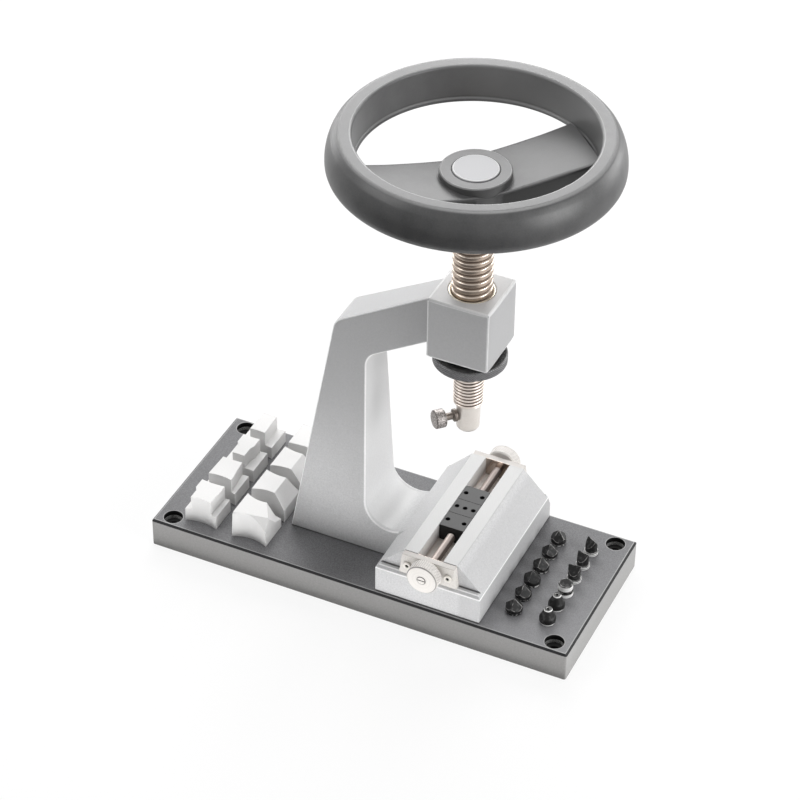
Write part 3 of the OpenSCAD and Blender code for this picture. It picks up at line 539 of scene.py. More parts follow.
def casting_paint():
    """Silver-grey paint over cast grain, with painted highlights and thin
    paint along the edges and painted light and shade on its faces; the bed's
    channel and lands are milled."""
    f = Finish("casting_paint")
    grain = f.cloud(1.1, 4.0, 0.75)
    peel = f.cloud(3.2, 2.0, 0.5)
    shade = f.cloud(60.0, 2.0, 0.5)
    side, deep = abs(f.x - AXIS[0]), abs(f.y)
    on_bed = f.step(f.x, 14.0, 15.0) * (1.0 - f.step(f.z, 62.0, 64.0))
    in_head = f.step(f.x, 30.0, 30.4) * f.step(f.z, 190.0, 193.0)
    # Edges painted paler as painted highlights and thin paint: the column's
    # rims, the head's edges, the bed's foot and the outer edges of its lands.
    inset = half_depth(f.z) - deep
    rim = f.band(inset, 0.25, 1.15, 0.2) * (1.0 - in_head) * (1.0 - on_bed)
    reach = 2.0
    level = f.math("MINIMUM", HEAD_Z[1] - f.z, f.z - HEAD_Z[0])
    corner = (f.most(reach + deep - HEAD_HALF[1], 0.0)
              + f.most(reach + side - HEAD_HALF[0], 0.0)
              + f.most(reach - level, 0.0))
    head_edge_highlight = 0.55 * in_head * f.band(corner, 2.25, 3.4, 0.25)
    foot_edge_highlight = on_bed * f.most(
        f.band(f.z, 41.0, 41.9, 0.2) * f.step(deep, 57.5, 58.2),
        f.band(f.z, 43.2, 44.1, 0.2) * f.step(deep, 55.8, 56.4),
        f.band(f.z, 41.1, 41.9, 0.15) * f.step(side, 36.4, 36.8))
    land_edge_highlight = (f.band(side, LAND_HALF - 0.5, LAND_HALF + 0.2, 0.15)
                * f.band(f.z, BED_TOP - 0.6, BED_TOP + 0.1, 0.1))
    edges = f.most(rim, head_edge_highlight, foot_edge_highlight, land_edge_highlight)
    # The paint: darker up the column and on the bed's far flank as painted
    # shade, paler in the throat, low on the column and on the upward faces as
    # painted light, and black in its creases and along the foot as painted
    # shade.
    speck = f.math("MINIMUM", f.most(1.7 * grain - 0.35, 0.0), 1.0)
    dark = (0.36, 0.36, 0.365)
    # Darker up the column as painted shade.
    high = f.step(f.z, 35.0, 150.0)
    # The bed's far flank is painted darker as painted shade.
    shaded_far_flank = on_bed * f.step(f.x, 72.0, 76.0)
    # The cove, the throat and the low column are painted paler as painted
    # light.
    lit_cove = (f.step(f.x, -20.0, -4.0) * (1.0 - f.step(f.x, 4.0, 14.0))
            * (1.0 - f.step(f.z, 60.0, 85.0))
            * (1.0 - f.step(deep, 20.0, 22.0)))
    lit_throat = (f.step(f.x, -16.5, -13.0) * (1.0 - f.step(f.x, 0.0, 10.0))
              * f.step(inset, 0.6, 1.4) * (1.0 - f.step(f.z, 186.0, 196.0)))
    foot = (1.0 - high) * (1.0 - on_bed)
    # The tops of head and arm are painted paler as painted light.
    lit_head_top = in_head * f.step(f.z, HEAD_Z[1] - 0.9, HEAD_Z[1] - 0.3)
    arm_level = ARM_OVER[1] - ARM_RISE * ARM_OVER[0]
    lit_arm_top = (1.0 - in_head) * f.step(
        f.z - ARM_RISE * f.x, arm_level - 0.96, arm_level - 0.36)
    # A painted shade in the crease at the step of the bed's shelf near each
    # end.
    painted_crease = (on_bed * f.band(deep, 53.2, 54.3, 0.15)
              * f.band(f.z, BED_SHELF - 0.4, BED_SHELF + 0.7, 0.15))
    # A painted contact shadow along the foot where it meets the plate.
    contact_shadow = 1.0 - f.step(f.z, PLATE_TOP + 0.7, PLATE_TOP + 1.1)
    paint = f.laid(
        f.blend(0.75 * speck + 0.25 * shade, dark, (0.70, 0.70, 0.705)),
        (0.70 * high, dark), (0.40 * shaded_far_flank, dark),
        (f.most(0.68 * lit_cove, 0.40 * lit_throat, 0.10 * foot), 0.84),
        (f.most(0.30 * lit_head_top, 0.13 * lit_arm_top), 0.90),
        (0.8 * painted_crease, 0.05), (edges * (0.60 + 0.5 * grain), 0.94),
        (contact_shadow, 0.03))
    # The milled lands, and the channel's walls and floor between them, the
    # walls and floor painted paler than the lands as painted light.
    milled = (f.band(f.x, 32.5, 70.5, 0.1) * f.band(f.z, 46.0, 61.0, 0.1)
              * (1.0 - f.step(deep, 53.0, 53.6)))
    hatch = f.hatch(0.6, 0.55)
    land = f.blend(hatch, 0.36, (0.46, 0.46, 0.455))
    floor = f.blend(hatch, (0.70, 0.64, 0.60), (0.92, 0.87, 0.83))
    wall = f.blend(hatch, (0.44, 0.43, 0.42), (0.70, 0.69, 0.68))
    bare = f.laid(floor, (f.step(f.z, 48.2, 49.5), wall),
                  (f.step(f.z, BED_TOP - 0.7, BED_TOP - 0.2), land))
    return f.done(f.blend(milled, paint, bare),
                  (0.42 + 0.12 * grain) * (1.0 - milled) + 0.42 * milled,
                  0.10 * milled,
                  (0.045 * grain + 0.030 * peel) * (1.0 - milled)
                  + 0.012 * hatch * milled)


casting = joined("casting_painted",
                 grid("column_arm", column_and_arm(), caps=True),
                 grid("head", head_block(), closed_rows=True),
                 grid("bed", vise_bed(), caps=True, flat=0.3))
eased_edges(casting, 0.9)
fitted(casting, casting_paint(), "frame_casting")

# ------------------------------------------------------- vise: thrust plates
# Two steel plates screwed to the ends of the bed carry the vise screw. Their
# faces are fine-blasted and nickel-plated, held by small socket screws.

VISE_X, VISE_Z = AXIS[0], 52.2
PLATE_SCREW_X, PLATE_SCREW_Z = 14.3, 51.6


def blasted_nickel():
    """Warm white nickel, fine-blasted outside and polished inside; its top is
    painted darker as painted shade.
    """
    f = Finish("blasted_nickel")
    speck = f.cloud(0.8, 3.0, 0.75)
    # The top is painted darker as painted shade.
    top = f.step(f.z, 59.2, 59.7)
    inner = 1.0 - f.step(abs(f.y), 53.6, 53.75)
    face = f.blend(speck, (0.42, 0.40, 0.38), (0.86, 0.83, 0.79))
    return f.done(f.laid(face, (0.45 * top, (0.30, 0.28, 0.27)),
                         (inner, (0.60, 0.52, 0.46))),
                  (0.45 + 0.14 * speck) * (1.0 - inner) + 0.05 * inner,
                  0.10 + 0.88 * inner, 0.02 * speck * (1.0 - inner),
                  specular=0.4)


def socket_steel():
    """Bright screw heads whose hexagon socket is painted near black as painted
    shade.
    """
    f = Finish("socket_steel")
    away = f.away(abs(f.x - VISE_X) - PLATE_SCREW_X, f.z - PLATE_SCREW_Z)
    # The hexagon socket and the head's foot by the plate are painted near
    # black as painted shade.
    hole = f.most(1.0 - f.step(away, 1.05, 1.25),
                  1.0 - f.step(abs(f.y), 57.8, 58.05))
    ring = f.lines(away, 0.3)
    head = f.blend(ring, (0.66, 0.63, 0.58), (0.86, 0.83, 0.78))
    return f.done(f.blend(hole, head, (0.030, 0.028, 0.026)),
                  0.34 + 0.30 * hole, 0.25, 0.01 * ring)


nickel_face = blasted_nickel()
sockets = socket_steel()
for end in ("front", "rear"):
    dressed("thrust_plate_" + end, 0.5, nickel_face)
    dressed("plate_screws_" + end, 0.2, sockets)

# ---------------------------------------------------- vise: screw and knobs
# One screw runs the whole bed, right-handed in front and left-handed behind,
# so both jaws move together. A knurled knob sits on each end, held by a small
# slotted screw; all of it is turned steel, nickel-plated.

SCREW_PITCH = 1.0


def around(points, origin, axis):
    """Local rows of (radius, distance, angle) set round an axis: origin plus
    distance along it plus radius across it at that angle."""
    axis = np.asarray(axis, float) / np.linalg.norm(axis)
    seed = (np.array([1.0, 0.0, 0.0]) if abs(axis[0]) < 0.9
            else np.array([0.0, 1.0, 0.0]))
    first = seed - axis * (seed @ axis)
    first /= np.linalg.norm(first)
    second = np.cross(axis, first)
    radius, along, angle = (points[..., i:i + 1] for i in range(3))
    return (np.asarray(origin, float) + axis * along
            + radius * (first * np.cos(angle) + second * np.sin(angle)))


def turned(profile, columns=96):
    """Each (radius, distance) of the profile taken once round the axis; the
    last column lies on the first."""
    profile = np.asarray(profile, float)
    angle = np.linspace(0.0, 2.0 * np.pi, columns + 1)
    rows = np.repeat(profile[:, None, :], columns + 1, 1)
    return np.concatenate([
        rows, np.broadcast_to(angle[None, :, None],
                              (len(profile), columns + 1, 1))], 2)


def thread(crest, low, high, pitch, depth, columns, steps, wide, ends):
    """Rows that climb one pitch per turn, cut flat at low and high. The radius
    is the crest less depth times a groove, which is half of one minus the
    cosine of the phase, to the power wide, which widens the crest; a cone of
    45 degrees takes each end down by its own amount."""
    angle = np.linspace(0.0, 2.0 * np.pi, columns + 1)
    base = np.arange(low - pitch, high + pitch / steps, pitch / steps)
    along = np.clip(base[:, None] + pitch * angle / (2.0 * np.pi), low, high)
    phase = 2.0 * np.pi * along / pitch - angle
    groove = (0.5 - 0.5 * np.cos(phase)) ** wide
    radius = crest - depth * groove
    radius = np.minimum(radius, crest - ends[0] + (along - low))
    radius = np.minimum(radius, crest - ends[1] + (high - along))
    return np.stack([radius, along, np.broadcast_to(angle, along.shape)], 2)


def lathe(name, points, origin, axis=(0.0, 0.0, 1.0), hollow=False):
    """A closed turned piece: the rows of points set round the axis."""
    piece = grid(name, around(points, origin, axis), closed_rows=hollow,
                 closed_columns=False)
    piece.data.set_sharp_from_angle(angle=np.radians(40.0))
    flat_faces(piece)
    return piece


def knurled(rows, first, count, teeth, slant, depth):
    """Cuts count rows from the first by two sets of slanting grooves. Each
    lies where the sine of half the teeth times the angle, plus or minus
    slant times the height, is zero, and falls in by depth."""
    rim = rows[first:first + count]
    along, lean = 0.5 * teeth * rim[:, :, 2], slant * rim[:, :, 1]
    ridge = np.minimum(np.abs(np.sin(along + lean)),
                       np.abs(np.sin(along - lean)))
    rim[:, :, 0] -= depth * (1.0 - ridge)
    return rows


def knob_points():
    """The knob's profile taken once round, with its rim knurled."""
    body = eased([(0.0, 10.1), (3.1, 10.1), (3.1, 10.3), (9.95, 10.1),
                  (10.75, 9.3)], 0.25, 3)
    rim = np.column_stack([np.full(23, 10.75), np.linspace(9.2, 2.7, 23)])
    foot = [(10.75, 2.6), (9.95, 1.8), (5.0, 1.8), (5.0, 0.2), (0.0, 0.2)]
    return knurled(turned(np.vstack([body, rim, foot]), columns=432),
                   len(body), len(rim), teeth=48, slant=2.2, depth=0.25)


def knob_finish():
    """Nickel with turned rings on the face; the knurl's valleys, the rim's
    chamfer, the gap round the screw and its slot are painted dark as painted
    shade."""
    f = Finish("knob_nickel")
    away, deep = f.away(f.x - VISE_X, f.z - VISE_Z), abs(f.y)
    fine = f.lines(away, 0.25)
    broad = f.lines(away, 1.1)
    grain = f.cloud(0.7, 3.0, 0.7)
    on_rim = f.band(deep, 60.2, 67.0, 0.1) * f.step(away, 9.0, 9.6)
    # The knurl's valleys, the rim's chamfer, the gap and the slot are painted
    # dark as painted shade.
    shaded_valley = on_rim * (1.0 - f.step(away, 10.50, 10.66))
    chamfer = f.band(away, 9.95, 10.65, 0.1) * f.step(deep, 66.95, 67.1)
    shaded_gap = f.band(away, 2.65, 3.2, 0.1) * f.step(deep, 67.6, 67.7)
    shaded_slot = (1.0 - f.step(away, 2.5, 2.6)) * (1.0 - f.step(deep, 67.95, 68.1))
    dark = f.most(0.85 * shaded_valley, 0.62 * chamfer, 0.8 * shaded_gap, 0.85 * shaded_slot)
    metal = f.blend(0.35 * fine + 0.35 * broad + 0.3 * grain,
                    (0.52, 0.49, 0.46), (0.98, 0.95, 0.92))
    return f.done(f.blend(dark, metal, (0.045, 0.040, 0.036)),
                  0.42 + 0.12 * grain, 0.15, 0.012 * fine + 0.010 * broad)


knob_nickel = knob_finish()
for end, side in (("front", -1.0), ("rear", 1.0)):
    knob = lathe("knob_knurled_" + end, knob_points(),
                 (VISE_X, side * 57.7, VISE_Z), (0.0, side, 0.0))
    fitted(knob, knob_nickel, "knob_" + end)
    dressed("knob_screw_" + end, 0.2, knob_nickel)

screw_rows = np.vstack([
    turned([(0.0, 0.0), (2.4, 0.0)], 24),
    thread(crest=3.0, low=0.0, high=53.45, pitch=SCREW_PITCH, depth=0.5,
           columns=24, steps=6, wide=1.0, ends=(0.4, 0.4)),
    turned([(2.5, 53.45), (2.5, 65.1), (2.3, 65.3), (0.0, 65.3)], 24)])
screw_at = (VISE_X, 0.0, VISE_Z)
other_hand = [1.0, 1.0, -1.0]
vise_screw = joined(
    "vise_screw_cut",
    lathe("screw_front", screw_rows, screw_at, (0.0, -1.0, 0.0)),
    lathe("screw_rear", screw_rows * other_hand, screw_at, (0.0, 1.0, 0.0)))


def screw_finish():
    """Pinkish nickel over the thread; its right side and its left edge are
    painted dark as painted shade.
    """
    f = Finish("screw_nickel")
    fine = f.lines(f.y, 0.3)
    grain = f.cloud(0.8, 3.0, 0.6)
    across = f.x - VISE_X
    # The rod's right side and its left edge are painted dark as painted shade.
    shaded_sides = f.most(f.step(across, 1.4, 2.0),
                     1.0 - f.step(across, -2.85, -2.6))
    metal = f.blend(0.5 * fine + 0.5 * grain,
                    (0.52, 0.44, 0.40), (0.86, 0.78, 0.74))
    return f.done(f.blend(0.8 * shaded_sides, metal, (0.07, 0.050, 0.042)),
                  0.30 + 0.12 * grain, 0.55, 0.006 * fine)


fitted(vise_screw, screw_finish(), "vise_screw")

# --------------------------------------------------------------- vise: jaws
# Three hardened steel blocks slide in the channel, the middle one doweled in
# place. They are blackened all over, and their tops are ground afterwards.


def jaw_steel():
    """Black oxide sides, and a ground top with crossing fine marks."""
    f = Finish("jaw_steel")
    top = f.step(f.z, 60.02, 60.2)
    marks = f.hatch(0.35, 0.5)
    grain = f.cloud(0.6, 3.0, 0.6)
    ground = f.blend(0.6 * marks + 0.4 * grain, 0.014, 0.070)
    black = f.blend(grain, 0.004, (0.014, 0.014, 0.015))
    return f.done(f.blend(top, black, ground), 0.42 + 0.12 * grain,
                  0.1 * top, 0.008 * marks * top + 0.008 * grain,
                  specular=0.32)


jaw_black = jaw_steel()
for node in ("jaw_front", "jaw_middle", "jaw_rear"):
    dressed(node, 0.3, jaw_black)

# ------------------------------------------------- feed: bush, sleeve, ring
# A threaded sleeve screws down through a bush pressed into the head and sets
# how low the spindle sits. A black knurled ring at its foot turns it, and a
# thrust bearing on its top carries the wheel.

FEED_PITCH = 5.0
SLEEVE_CREST = 12.8
SLEEVE_FOOT, RING_TOP, SLEEVE_TOP = 183.4, 190.2, 300.0
RING_TEETH, RING_SLANT = 90, 1.9


def axis_round(f):
    """Distance from the spindle's axis."""
    return f.away(f.x - AXIS[0], f.y)


def bush_finish():
    """Pale bronze with turned rings on its top face."""
    f = Finish("bush_bronze")
    away = axis_round(f)
    fine = f.lines(away, 0.22)
    mottle = f.cloud(4.0, 3.0, 0.6)
    return f.done(f.blend(0.6 * fine + 0.4 * mottle, (0.60, 0.56, 0.46),
                          (0.80, 0.76, 0.66)),
                  0.20 + 0.10 * fine + 0.06 * mottle, 0.35,
                  0.006 * fine + 0.004 * f.lines(away, 1.4))


dressed("feed_bush", 0.35, bush_finish())

sleeve_rows = np.vstack([
    turned([(10.1, SLEEVE_FOOT), (12.0, SLEEVE_FOOT), (SLEEVE_CREST, 184.2),
            (SLEEVE_CREST, RING_TOP)]),
    thread(crest=SLEEVE_CREST, low=RING_TOP, high=SLEEVE_TOP,
           pitch=FEED_PITCH, depth=1.45, columns=96, steps=24, wide=3.4,
           ends=(0.0, 0.8)),
    turned([(10.9, SLEEVE_TOP), (10.1, 299.2)])])
sleeve = lathe("feed_sleeve_cut", sleeve_rows, AXIS, hollow=True)


def sleeve_finish():
    """Turned nickel whose thread roots are painted dark brown as painted
    shade, with a painted highlight along the crests.
    """
    f = Finish("sleeve_nickel")
    fine = f.lines(f.z, 0.22)
    mottle = f.cloud(3.0, 3.0, 0.6)
    away = axis_round(f)
    # The thread roots are painted dark as painted shade, and a band along the
    # crests is a painted highlight.
    shaded_root = 1.0 - f.step(away, 11.5, 12.5)
    crest = f.band(away, 12.50, 12.68, 0.04)
    metal = f.blend(0.5 * fine + 0.5 * mottle, (0.36, 0.28, 0.225),
                    (0.68, 0.57, 0.48))
    return f.done(f.laid(metal, (0.6 * crest, (0.92, 0.86, 0.78)),
                         (0.9 * shaded_root, (0.085, 0.060, 0.044))),
                  0.24 + 0.10 * fine + 0.25 * shaded_root, 0.92 - 0.3 * shaded_root,
                  0.005 * fine)


fitted(sleeve, sleeve_finish(), "feed_sleeve")


def ring_points():
    """A flat ring with a knurled rim, taken once round."""
    rim = np.column_stack([np.full(25, 23.8), np.linspace(184.5, 189.1, 25)])
    rows = turned(np.vstack([
        [(12.85, SLEEVE_FOOT), (22.8, SLEEVE_FOOT), (23.7, 184.3)], rim,
        [(23.7, 189.3), (22.8, RING_TOP), (12.85, RING_TOP)]]), columns=720)
    return knurled(rows, 3, len(rim), RING_TEETH, RING_SLANT, depth=0.32)


def ring_finish():
    """Black anodised aluminium, worn brighter on the knurl's points as wear
    and painted highlight, and rubbed grey towards the rim of its faces."""
    f = Finish("ring_black")
    away = axis_round(f)
    along = 0.5 * RING_TEETH * f.math("ARCTAN2", f.y, f.x - AXIS[0])
    lean = RING_SLANT * f.z
    points = f.math("MINIMUM", abs(f.math("SINE", along + lean)),
                    abs(f.math("SINE", along - lean)))
    # The knurl's points are painted brighter as wear and a painted highlight.
    wear_and_highlight = f.step(away, 23.30, 23.42)
    rubbed = f.step(away, 17.0, 21.5)
    grain = f.cloud(0.5, 3.0, 0.6)
    dark = f.blend(grain, 0.004, (0.016, 0.016, 0.017))
    return f.done(f.laid(
        dark, (rubbed * f.step(grain, 0.38, 0.62), 0.16),
        (wear_and_highlight * f.step(points, 0.35, 0.85), (0.26, 0.26, 0.27))),
        0.34 + 0.1 * grain, 0.3, 0.006 * f.lines(away, 0.3))


ring = lathe("feed_ring_knurled", ring_points(), AXIS, hollow=True)
fitted(ring, ring_finish(), "feed_ring")
dressed("thrust_bearing", 0.3, bright_steel)

# ------------------------------------------------------ spindle, thumbscrew
# The spindle is one steel bar inside the sleeve: the wheel is nutted on its
# top, and its threaded nose ends in a socket that takes the chucks. A small
# knurled thumbscrew in the socket's side holds the chuck's shank.

THUMB_AT = (AXIS[0], 0.0, 141.2)
THUMB_TO = np.radians(226.0)

spindle_rows = np.vstack([
    turned([(0.0, 146.2), (3.8, 146.2), (4.0, 146.0), (4.0, 130.6),
            (4.4, 130.2), (6.3, 130.2), (6.7, 130.35), (7.35, 131.3),
            (7.5, 131.8), (7.7, 141.0), (7.88, 150.1), (8.1, 150.5),
            (8.9, 150.5)]),
    thread(crest=10.0, low=150.55, high=183.0, pitch=2.5, depth=0.95,
           columns=96, steps=14, wide=1.9, ends=(0.9, 0.0)),
    turned([(10.0, 183.2), (10.0, 308.1), (7.0, 308.1), (7.0, 323.6),
            (6.1, 324.45), (0.0, 324.45)])])
spindle = lathe("spindle_turned", spindle_rows, AXIS)


def spindle_finish():
    """Turned steel above, a pinkish nose whose thread roots are painted dark
    as painted shade, and a smoother plain socket below the nose whose bore is
    painted dark as painted shade.
    """
    f = Finish("spindle_steel")
    fine = f.lines(f.z, 0.25)
    mottle = f.cloud(4.0, 3.0, 0.6)
    away = axis_round(f)
    # The socket's bore and the nose's thread roots are painted dark as painted
    # shade.
    bore = ((1.0 - f.step(away, 4.05, 4.25))
            * (1.0 - f.step(f.z, 150.0, 151.0)))
    nose = f.band(f.z, 151.0, 183.5, 0.3)
    shaded_root = nose * (1.0 - f.step(away, 9.35, 9.97))
    grain = f.cloud(0.8, 3.0, 0.7)
    metal = f.blend(0.4 * fine + 0.3 * mottle + 0.3 * grain,
                    (0.58, 0.53, 0.48), (0.92, 0.88, 0.84))
    pink = f.blend(mottle, (0.84, 0.73, 0.65), (0.98, 0.91, 0.85))
    return f.done(f.laid(metal, (nose, pink),
                         (0.95 * shaded_root, (0.085, 0.055, 0.040)), (bore, 0.05)),
                  0.28 + 0.10 * fine + 0.08 * mottle, 0.75, 0.004 * fine)


fitted(spindle, spindle_finish(), "spindle")


def thumb_points():
    """Stem, collar and a knurled head, taken round its own axis."""
    stem = np.vstack([
        eased([(0.0, 4.4), (2.0, 4.4), (2.0, 8.2), (4.2, 8.2), (4.2, 10.3),
               (2.4, 11.1), (2.4, 16.2), (5.2, 16.2)], 0.25, 3),
        [(5.9, 16.7)]])
    rim = np.column_stack([np.full(17, 6.2), np.linspace(17.2, 22.8, 17)])
    face = [(5.6, 23.5), (5.2, 23.7), (4.6, 23.5), (4.2, 23.6), (0.0, 24.0)]
    return knurled(turned(np.vstack([stem, rim, face]), columns=240),
                   len(stem), len(rim), teeth=40, slant=2.2, depth=0.16)


thumb = lathe("thumb_screw_knurled", thumb_points(), THUMB_AT,
              (np.cos(THUMB_TO), np.sin(THUMB_TO), 0.0))


def thumb_finish():
    """Knurled pinkish-grey steel head with grooves painted dark as painted
    shade, on a dark stem.
    """
    f = Finish("thumb_steel")
    along = (f.x - THUMB_AT[0]) * np.cos(THUMB_TO) + f.y * np.sin(THUMB_TO)
    grain = f.cloud(0.7, 3.0, 0.7)
    stem = 1.0 - f.step(along, 15.8, 16.3)
    # The grooves at both ends of the knurl are painted dark as painted shade.
    groove = f.band(along, 17.0, 17.5, 0.15) + f.band(along, 22.6, 23.2, 0.15)
    head = f.blend(f.step(grain, 0.36, 0.64), (0.10, 0.088, 0.082),
                   (0.60, 0.56, 0.54))
    black = f.blend(grain, (0.05, 0.040, 0.034), (0.30, 0.26, 0.23))
    return f.done(f.laid(head, (0.7 * groove, (0.05, 0.045, 0.04)),
                         (stem, black)),
                  0.36 + 0.15 * grain, 0.55, 0.02 * grain)


fitted(thumb, thumb_finish(), "thumb_screw")

# --------------------------------------------------------------- handwheel
# The wheel is one moulding in satin dark grey plastic: a deep rim that leans
# in to a flat top, one straight web across it with flanges below, and a hub
# that is clamped on the spindle by a nut.

RIM_FOOT, RIM_WAIST, RIM_TOP = 325.7, 333.86, 352.9
RIM_INNER, RIM_OUTER = 73.7, 90.1
WEB_TURN = np.radians(45.0)
WEB_HALF = 22.6


def rim_points():
    """The rim's closed section taken once round: a flat top, an arc down the
    outside to the waist, a rounded foot and an upright wall inside."""
    swell, lip, chamfer = 31.0, 75.7, 1.2
    sweep = np.radians(np.linspace(36.5, 0.0, 16))[1:]
    arc = np.column_stack([RIM_OUTER - swell + swell * np.cos(sweep),
                           RIM_WAIST + swell * np.sin(sweep)])
    outside = bend((RIM_OUTER, RIM_WAIST), (RIM_OUTER, RIM_FOOT),
                   (lip, RIM_FOOT), 7.0, 8)
    outside[:, 0] = np.minimum(outside[:, 0], RIM_OUTER)
    inside = eased([(78.0, RIM_FOOT), (lip, RIM_FOOT), (72.5, 327.9),
                    (72.5, 328.9), (RIM_INNER, 330.1),
                    (RIM_INNER, RIM_TOP - chamfer),
                    (RIM_INNER + chamfer, RIM_TOP), (83.0, RIM_TOP), arc[2]],
                   [0, 0.8, 0.8, 0.6, 0.8, 0.9, 0.9, 4.5, 0], 6)
    return turned(np.vstack([inside, arc[3:], outside]), columns=192)


def web_points():
    """The web's channel section carried across the wheel: its ends lie on the
    rim's circle, its height grows from the hub to the rim, and quarter circles
    round both top edges."""
    turn = np.radians(np.linspace(0.0, 90.0, 6))
    edge = 2.6
    side = np.stack([1.0 - (edge / WEB_HALF) * (1.0 - np.sin(turn)),
                     edge * (1.0 - np.cos(turn))], 1)
    top = np.vstack([side[::-1] * [-1.0, 1.0], side])
    share = np.concatenate([[-1.0], top[:, 0], [1.0, 0.80, 0.80, -0.80,
                                                -0.80]])
    along = np.sin(np.linspace(-0.5, 0.5, 60) * np.pi)
    across, run = np.meshgrid(share, along)
    reach = 74.3
    wide = np.interp(np.abs(run) * reach, [53.06, 70.0, 75.0],
                     [WEB_HALF, 23.5, 24.4])
    t = across * wide
    s = run * np.sqrt(reach ** 2 - t ** 2)
    radius = np.hypot(s, t)
    crown = np.interp(radius, [22.2, 74.7], [321.5, 330.8])
    flange = np.interp(radius, [30.2, RIM_INNER], [308.5, 326.1])
    ceiling = np.interp(radius, [20.0, 24.0, 69.7, 70.5],
                        [308.5, 317.5, 326.4, 326.0])
    ceiling = np.maximum(np.minimum(ceiling, crown - 3.0), flange)
    z = crown - np.concatenate([[0.0], top[:, 1], [0.0] * 5])
    z[:, [0, -5, -4, -1]] = flange[:, [0, -5, -4, -1]]
    z[:, [-3, -2]] = ceiling[:, [-3, -2]]
    c, n = np.cos(WEB_TURN), np.sin(WEB_TURN)
    return np.stack([AXIS[0] + s * c - t * n, s * n + t * c, z], 2)


hub_section = eased([(10.0, 308.4), (16.8, 308.4), (20.0, 317.5),
                     (22.2, 318.5), (22.2, 325.9), (21.4, 326.7),
                     (14.65, 326.7), (14.65, 323.6), (10.0, 323.6)],
                    0.45, 3, closed=True)


def wheel_plastic():
    """Satin dark grey plastic with a fine moulded grain; thin lines along the
    lips of rim and hub are painted paler as painted highlights and rubbing,
    the inside of the rim paler as painted light, and the flange under the web
    near black as painted shade."""
    f = Finish("wheel_plastic")
    grain = f.cloud(0.9, 3.0, 0.65)
    shade = f.cloud(40.0, 3.0, 0.55)
    away = axis_round(f)
    # Thin lines along the lips of rim and hub, the rim's outer crease, its
    # foot and inner ledge are painted paler as painted highlights and rubbing.
    lip = (f.band(away, RIM_INNER + 0.6, RIM_INNER + 1.8, 0.3)
           * f.step(f.z, RIM_TOP - 1.0, RIM_TOP - 0.4))
    painted_crease = (f.band(away, 81.8, 83.6, 0.6)
              * f.step(f.z, RIM_TOP - 1.3, RIM_TOP - 0.5))
    foot = f.band(f.z, 326.6, 327.9, 0.3) * f.step(away, 85.5, 86.5)
    inner = f.band(f.z, 329.4, 330.6, 0.3) * f.band(away, 72.8, 74.2, 0.2)
    hub = f.band(away, 20.9, 22.3, 0.2) * f.step(f.z, 325.6, 326.2)
    rubbed = f.most(lip, inner, 0.70 * painted_crease, hub, 0.8 * foot)
    patch = f.cloud(11.0, 2.0, 0.5)
    tone = f.step(0.30 * grain + 0.35 * shade + 0.35 * patch, 0.26, 0.74)
    within = 1.0 - f.step(away, 74.0, 75.5)
    # Inside the rim it is painted paler, most towards the back right and on
    # the far wall, as painted light.
    lit_inside = within * (0.20 + 0.80 * f.step(f.x + f.y, 70.0, 110.0))
    barrel = (f.step(away, 14.8, 15.0) * (1.0 - f.step(away, 22.6, 23.2))
              * (1.0 - f.step(f.z, 325.4, 325.9)))
    beside = (f.x - AXIS[0]) * np.sin(WEB_TURN) - f.y * np.cos(WEB_TURN)
    # The flange under the web is painted near black as painted shade.
    flange = (f.step(beside, 22.0, 22.5) * f.step(away, 23.5, 24.5)
              * (1.0 - f.step(away, 73.2, 73.8))
              * (1.0 - f.step(f.z, 331.0, 332.0)))
    lit_far_wall = within * f.step(f.z, 330.5, 332.0) * f.step(f.y, 10.0, 50.0)
    grey = f.blend(tone, (0.045, 0.045, 0.046), (0.094, 0.094, 0.095))
    return f.done(f.laid(grey,
                         (0.50 * lit_inside + 0.28 * lit_far_wall + 0.30 * barrel, 0.20),
                         (0.85 * flange, 0.006),
                         (rubbed * (0.6 + 0.4 * grain), 0.27)),
                  0.34 + 0.08 * grain + 0.03 * patch, 0.0, 0.010 * grain,
                  specular=0.52)


wheel = joined(
    "handwheel_moulded",
    lathe("rim", rim_points(), AXIS, hollow=True),
    grid("web", web_points(), caps=True),
    lathe("hub", turned(hub_section), AXIS, hollow=True))
wheel.data.set_sharp_from_angle(angle=np.radians(38.0))
flat_faces(wheel)
fitted(wheel, wheel_plastic(), "handwheel")

# ------------------------------------------------------------------ hub cap
# A thin silver-grey plastic disc presses into the hub and hides its nut. It
# is moulded plain, with its edge rounded and painted light as a painted
# highlight.

cap_rows = turned([(0.0, 327.6), (13.2, 327.6), (13.8, 327.45),
                   (14.35, 327.05), (14.5, 326.7), (14.5, 324.5),
                   (0.0, 324.5)])


def cap_finish():
    """Silver-grey moulded disc with a very fine grain, and a painted highlight
    on its rounded edge.
    """
    f = Finish("cap_silver")
    grain = f.cloud(0.6, 3.0, 0.6)
    # The rounded edge is painted pale as a painted highlight.
    edge = f.band(axis_round(f), 13.4, 14.1, 0.15)
    disc = f.blend(grain, (0.34, 0.34, 0.35), (0.41, 0.41, 0.42))
    return f.done(f.blend(edge, disc, 0.72),
                  0.44 + 0.08 * grain, 0.1, 0.01 * grain)


cap = lathe("hub_cap_disc", cap_rows, AXIS)
fitted(cap, cap_finish(), "hub_cap")

# ------------------------------------------------------------ nylon blocks
# Eight white nylon blocks hold a watch case by its lugs. Each is milled from
# bar and stands in the plate on two pegs of its own.


def white_nylon():
    """Milled white nylon with faint cutter marks and a soft grain."""
    f = Finish("white_nylon")
    marks = f.lines(f.z + 0.15 * f.y, 0.5)
    grain = f.cloud(1.2, 3.0, 0.6)
    return f.done(f.blend(grain, (0.64, 0.635, 0.63), (0.70, 0.695, 0.69)),
                  0.48 + 0.10 * grain, 0.0, 0.010 * marks + 0.015 * grain,
                  specular=0.4)


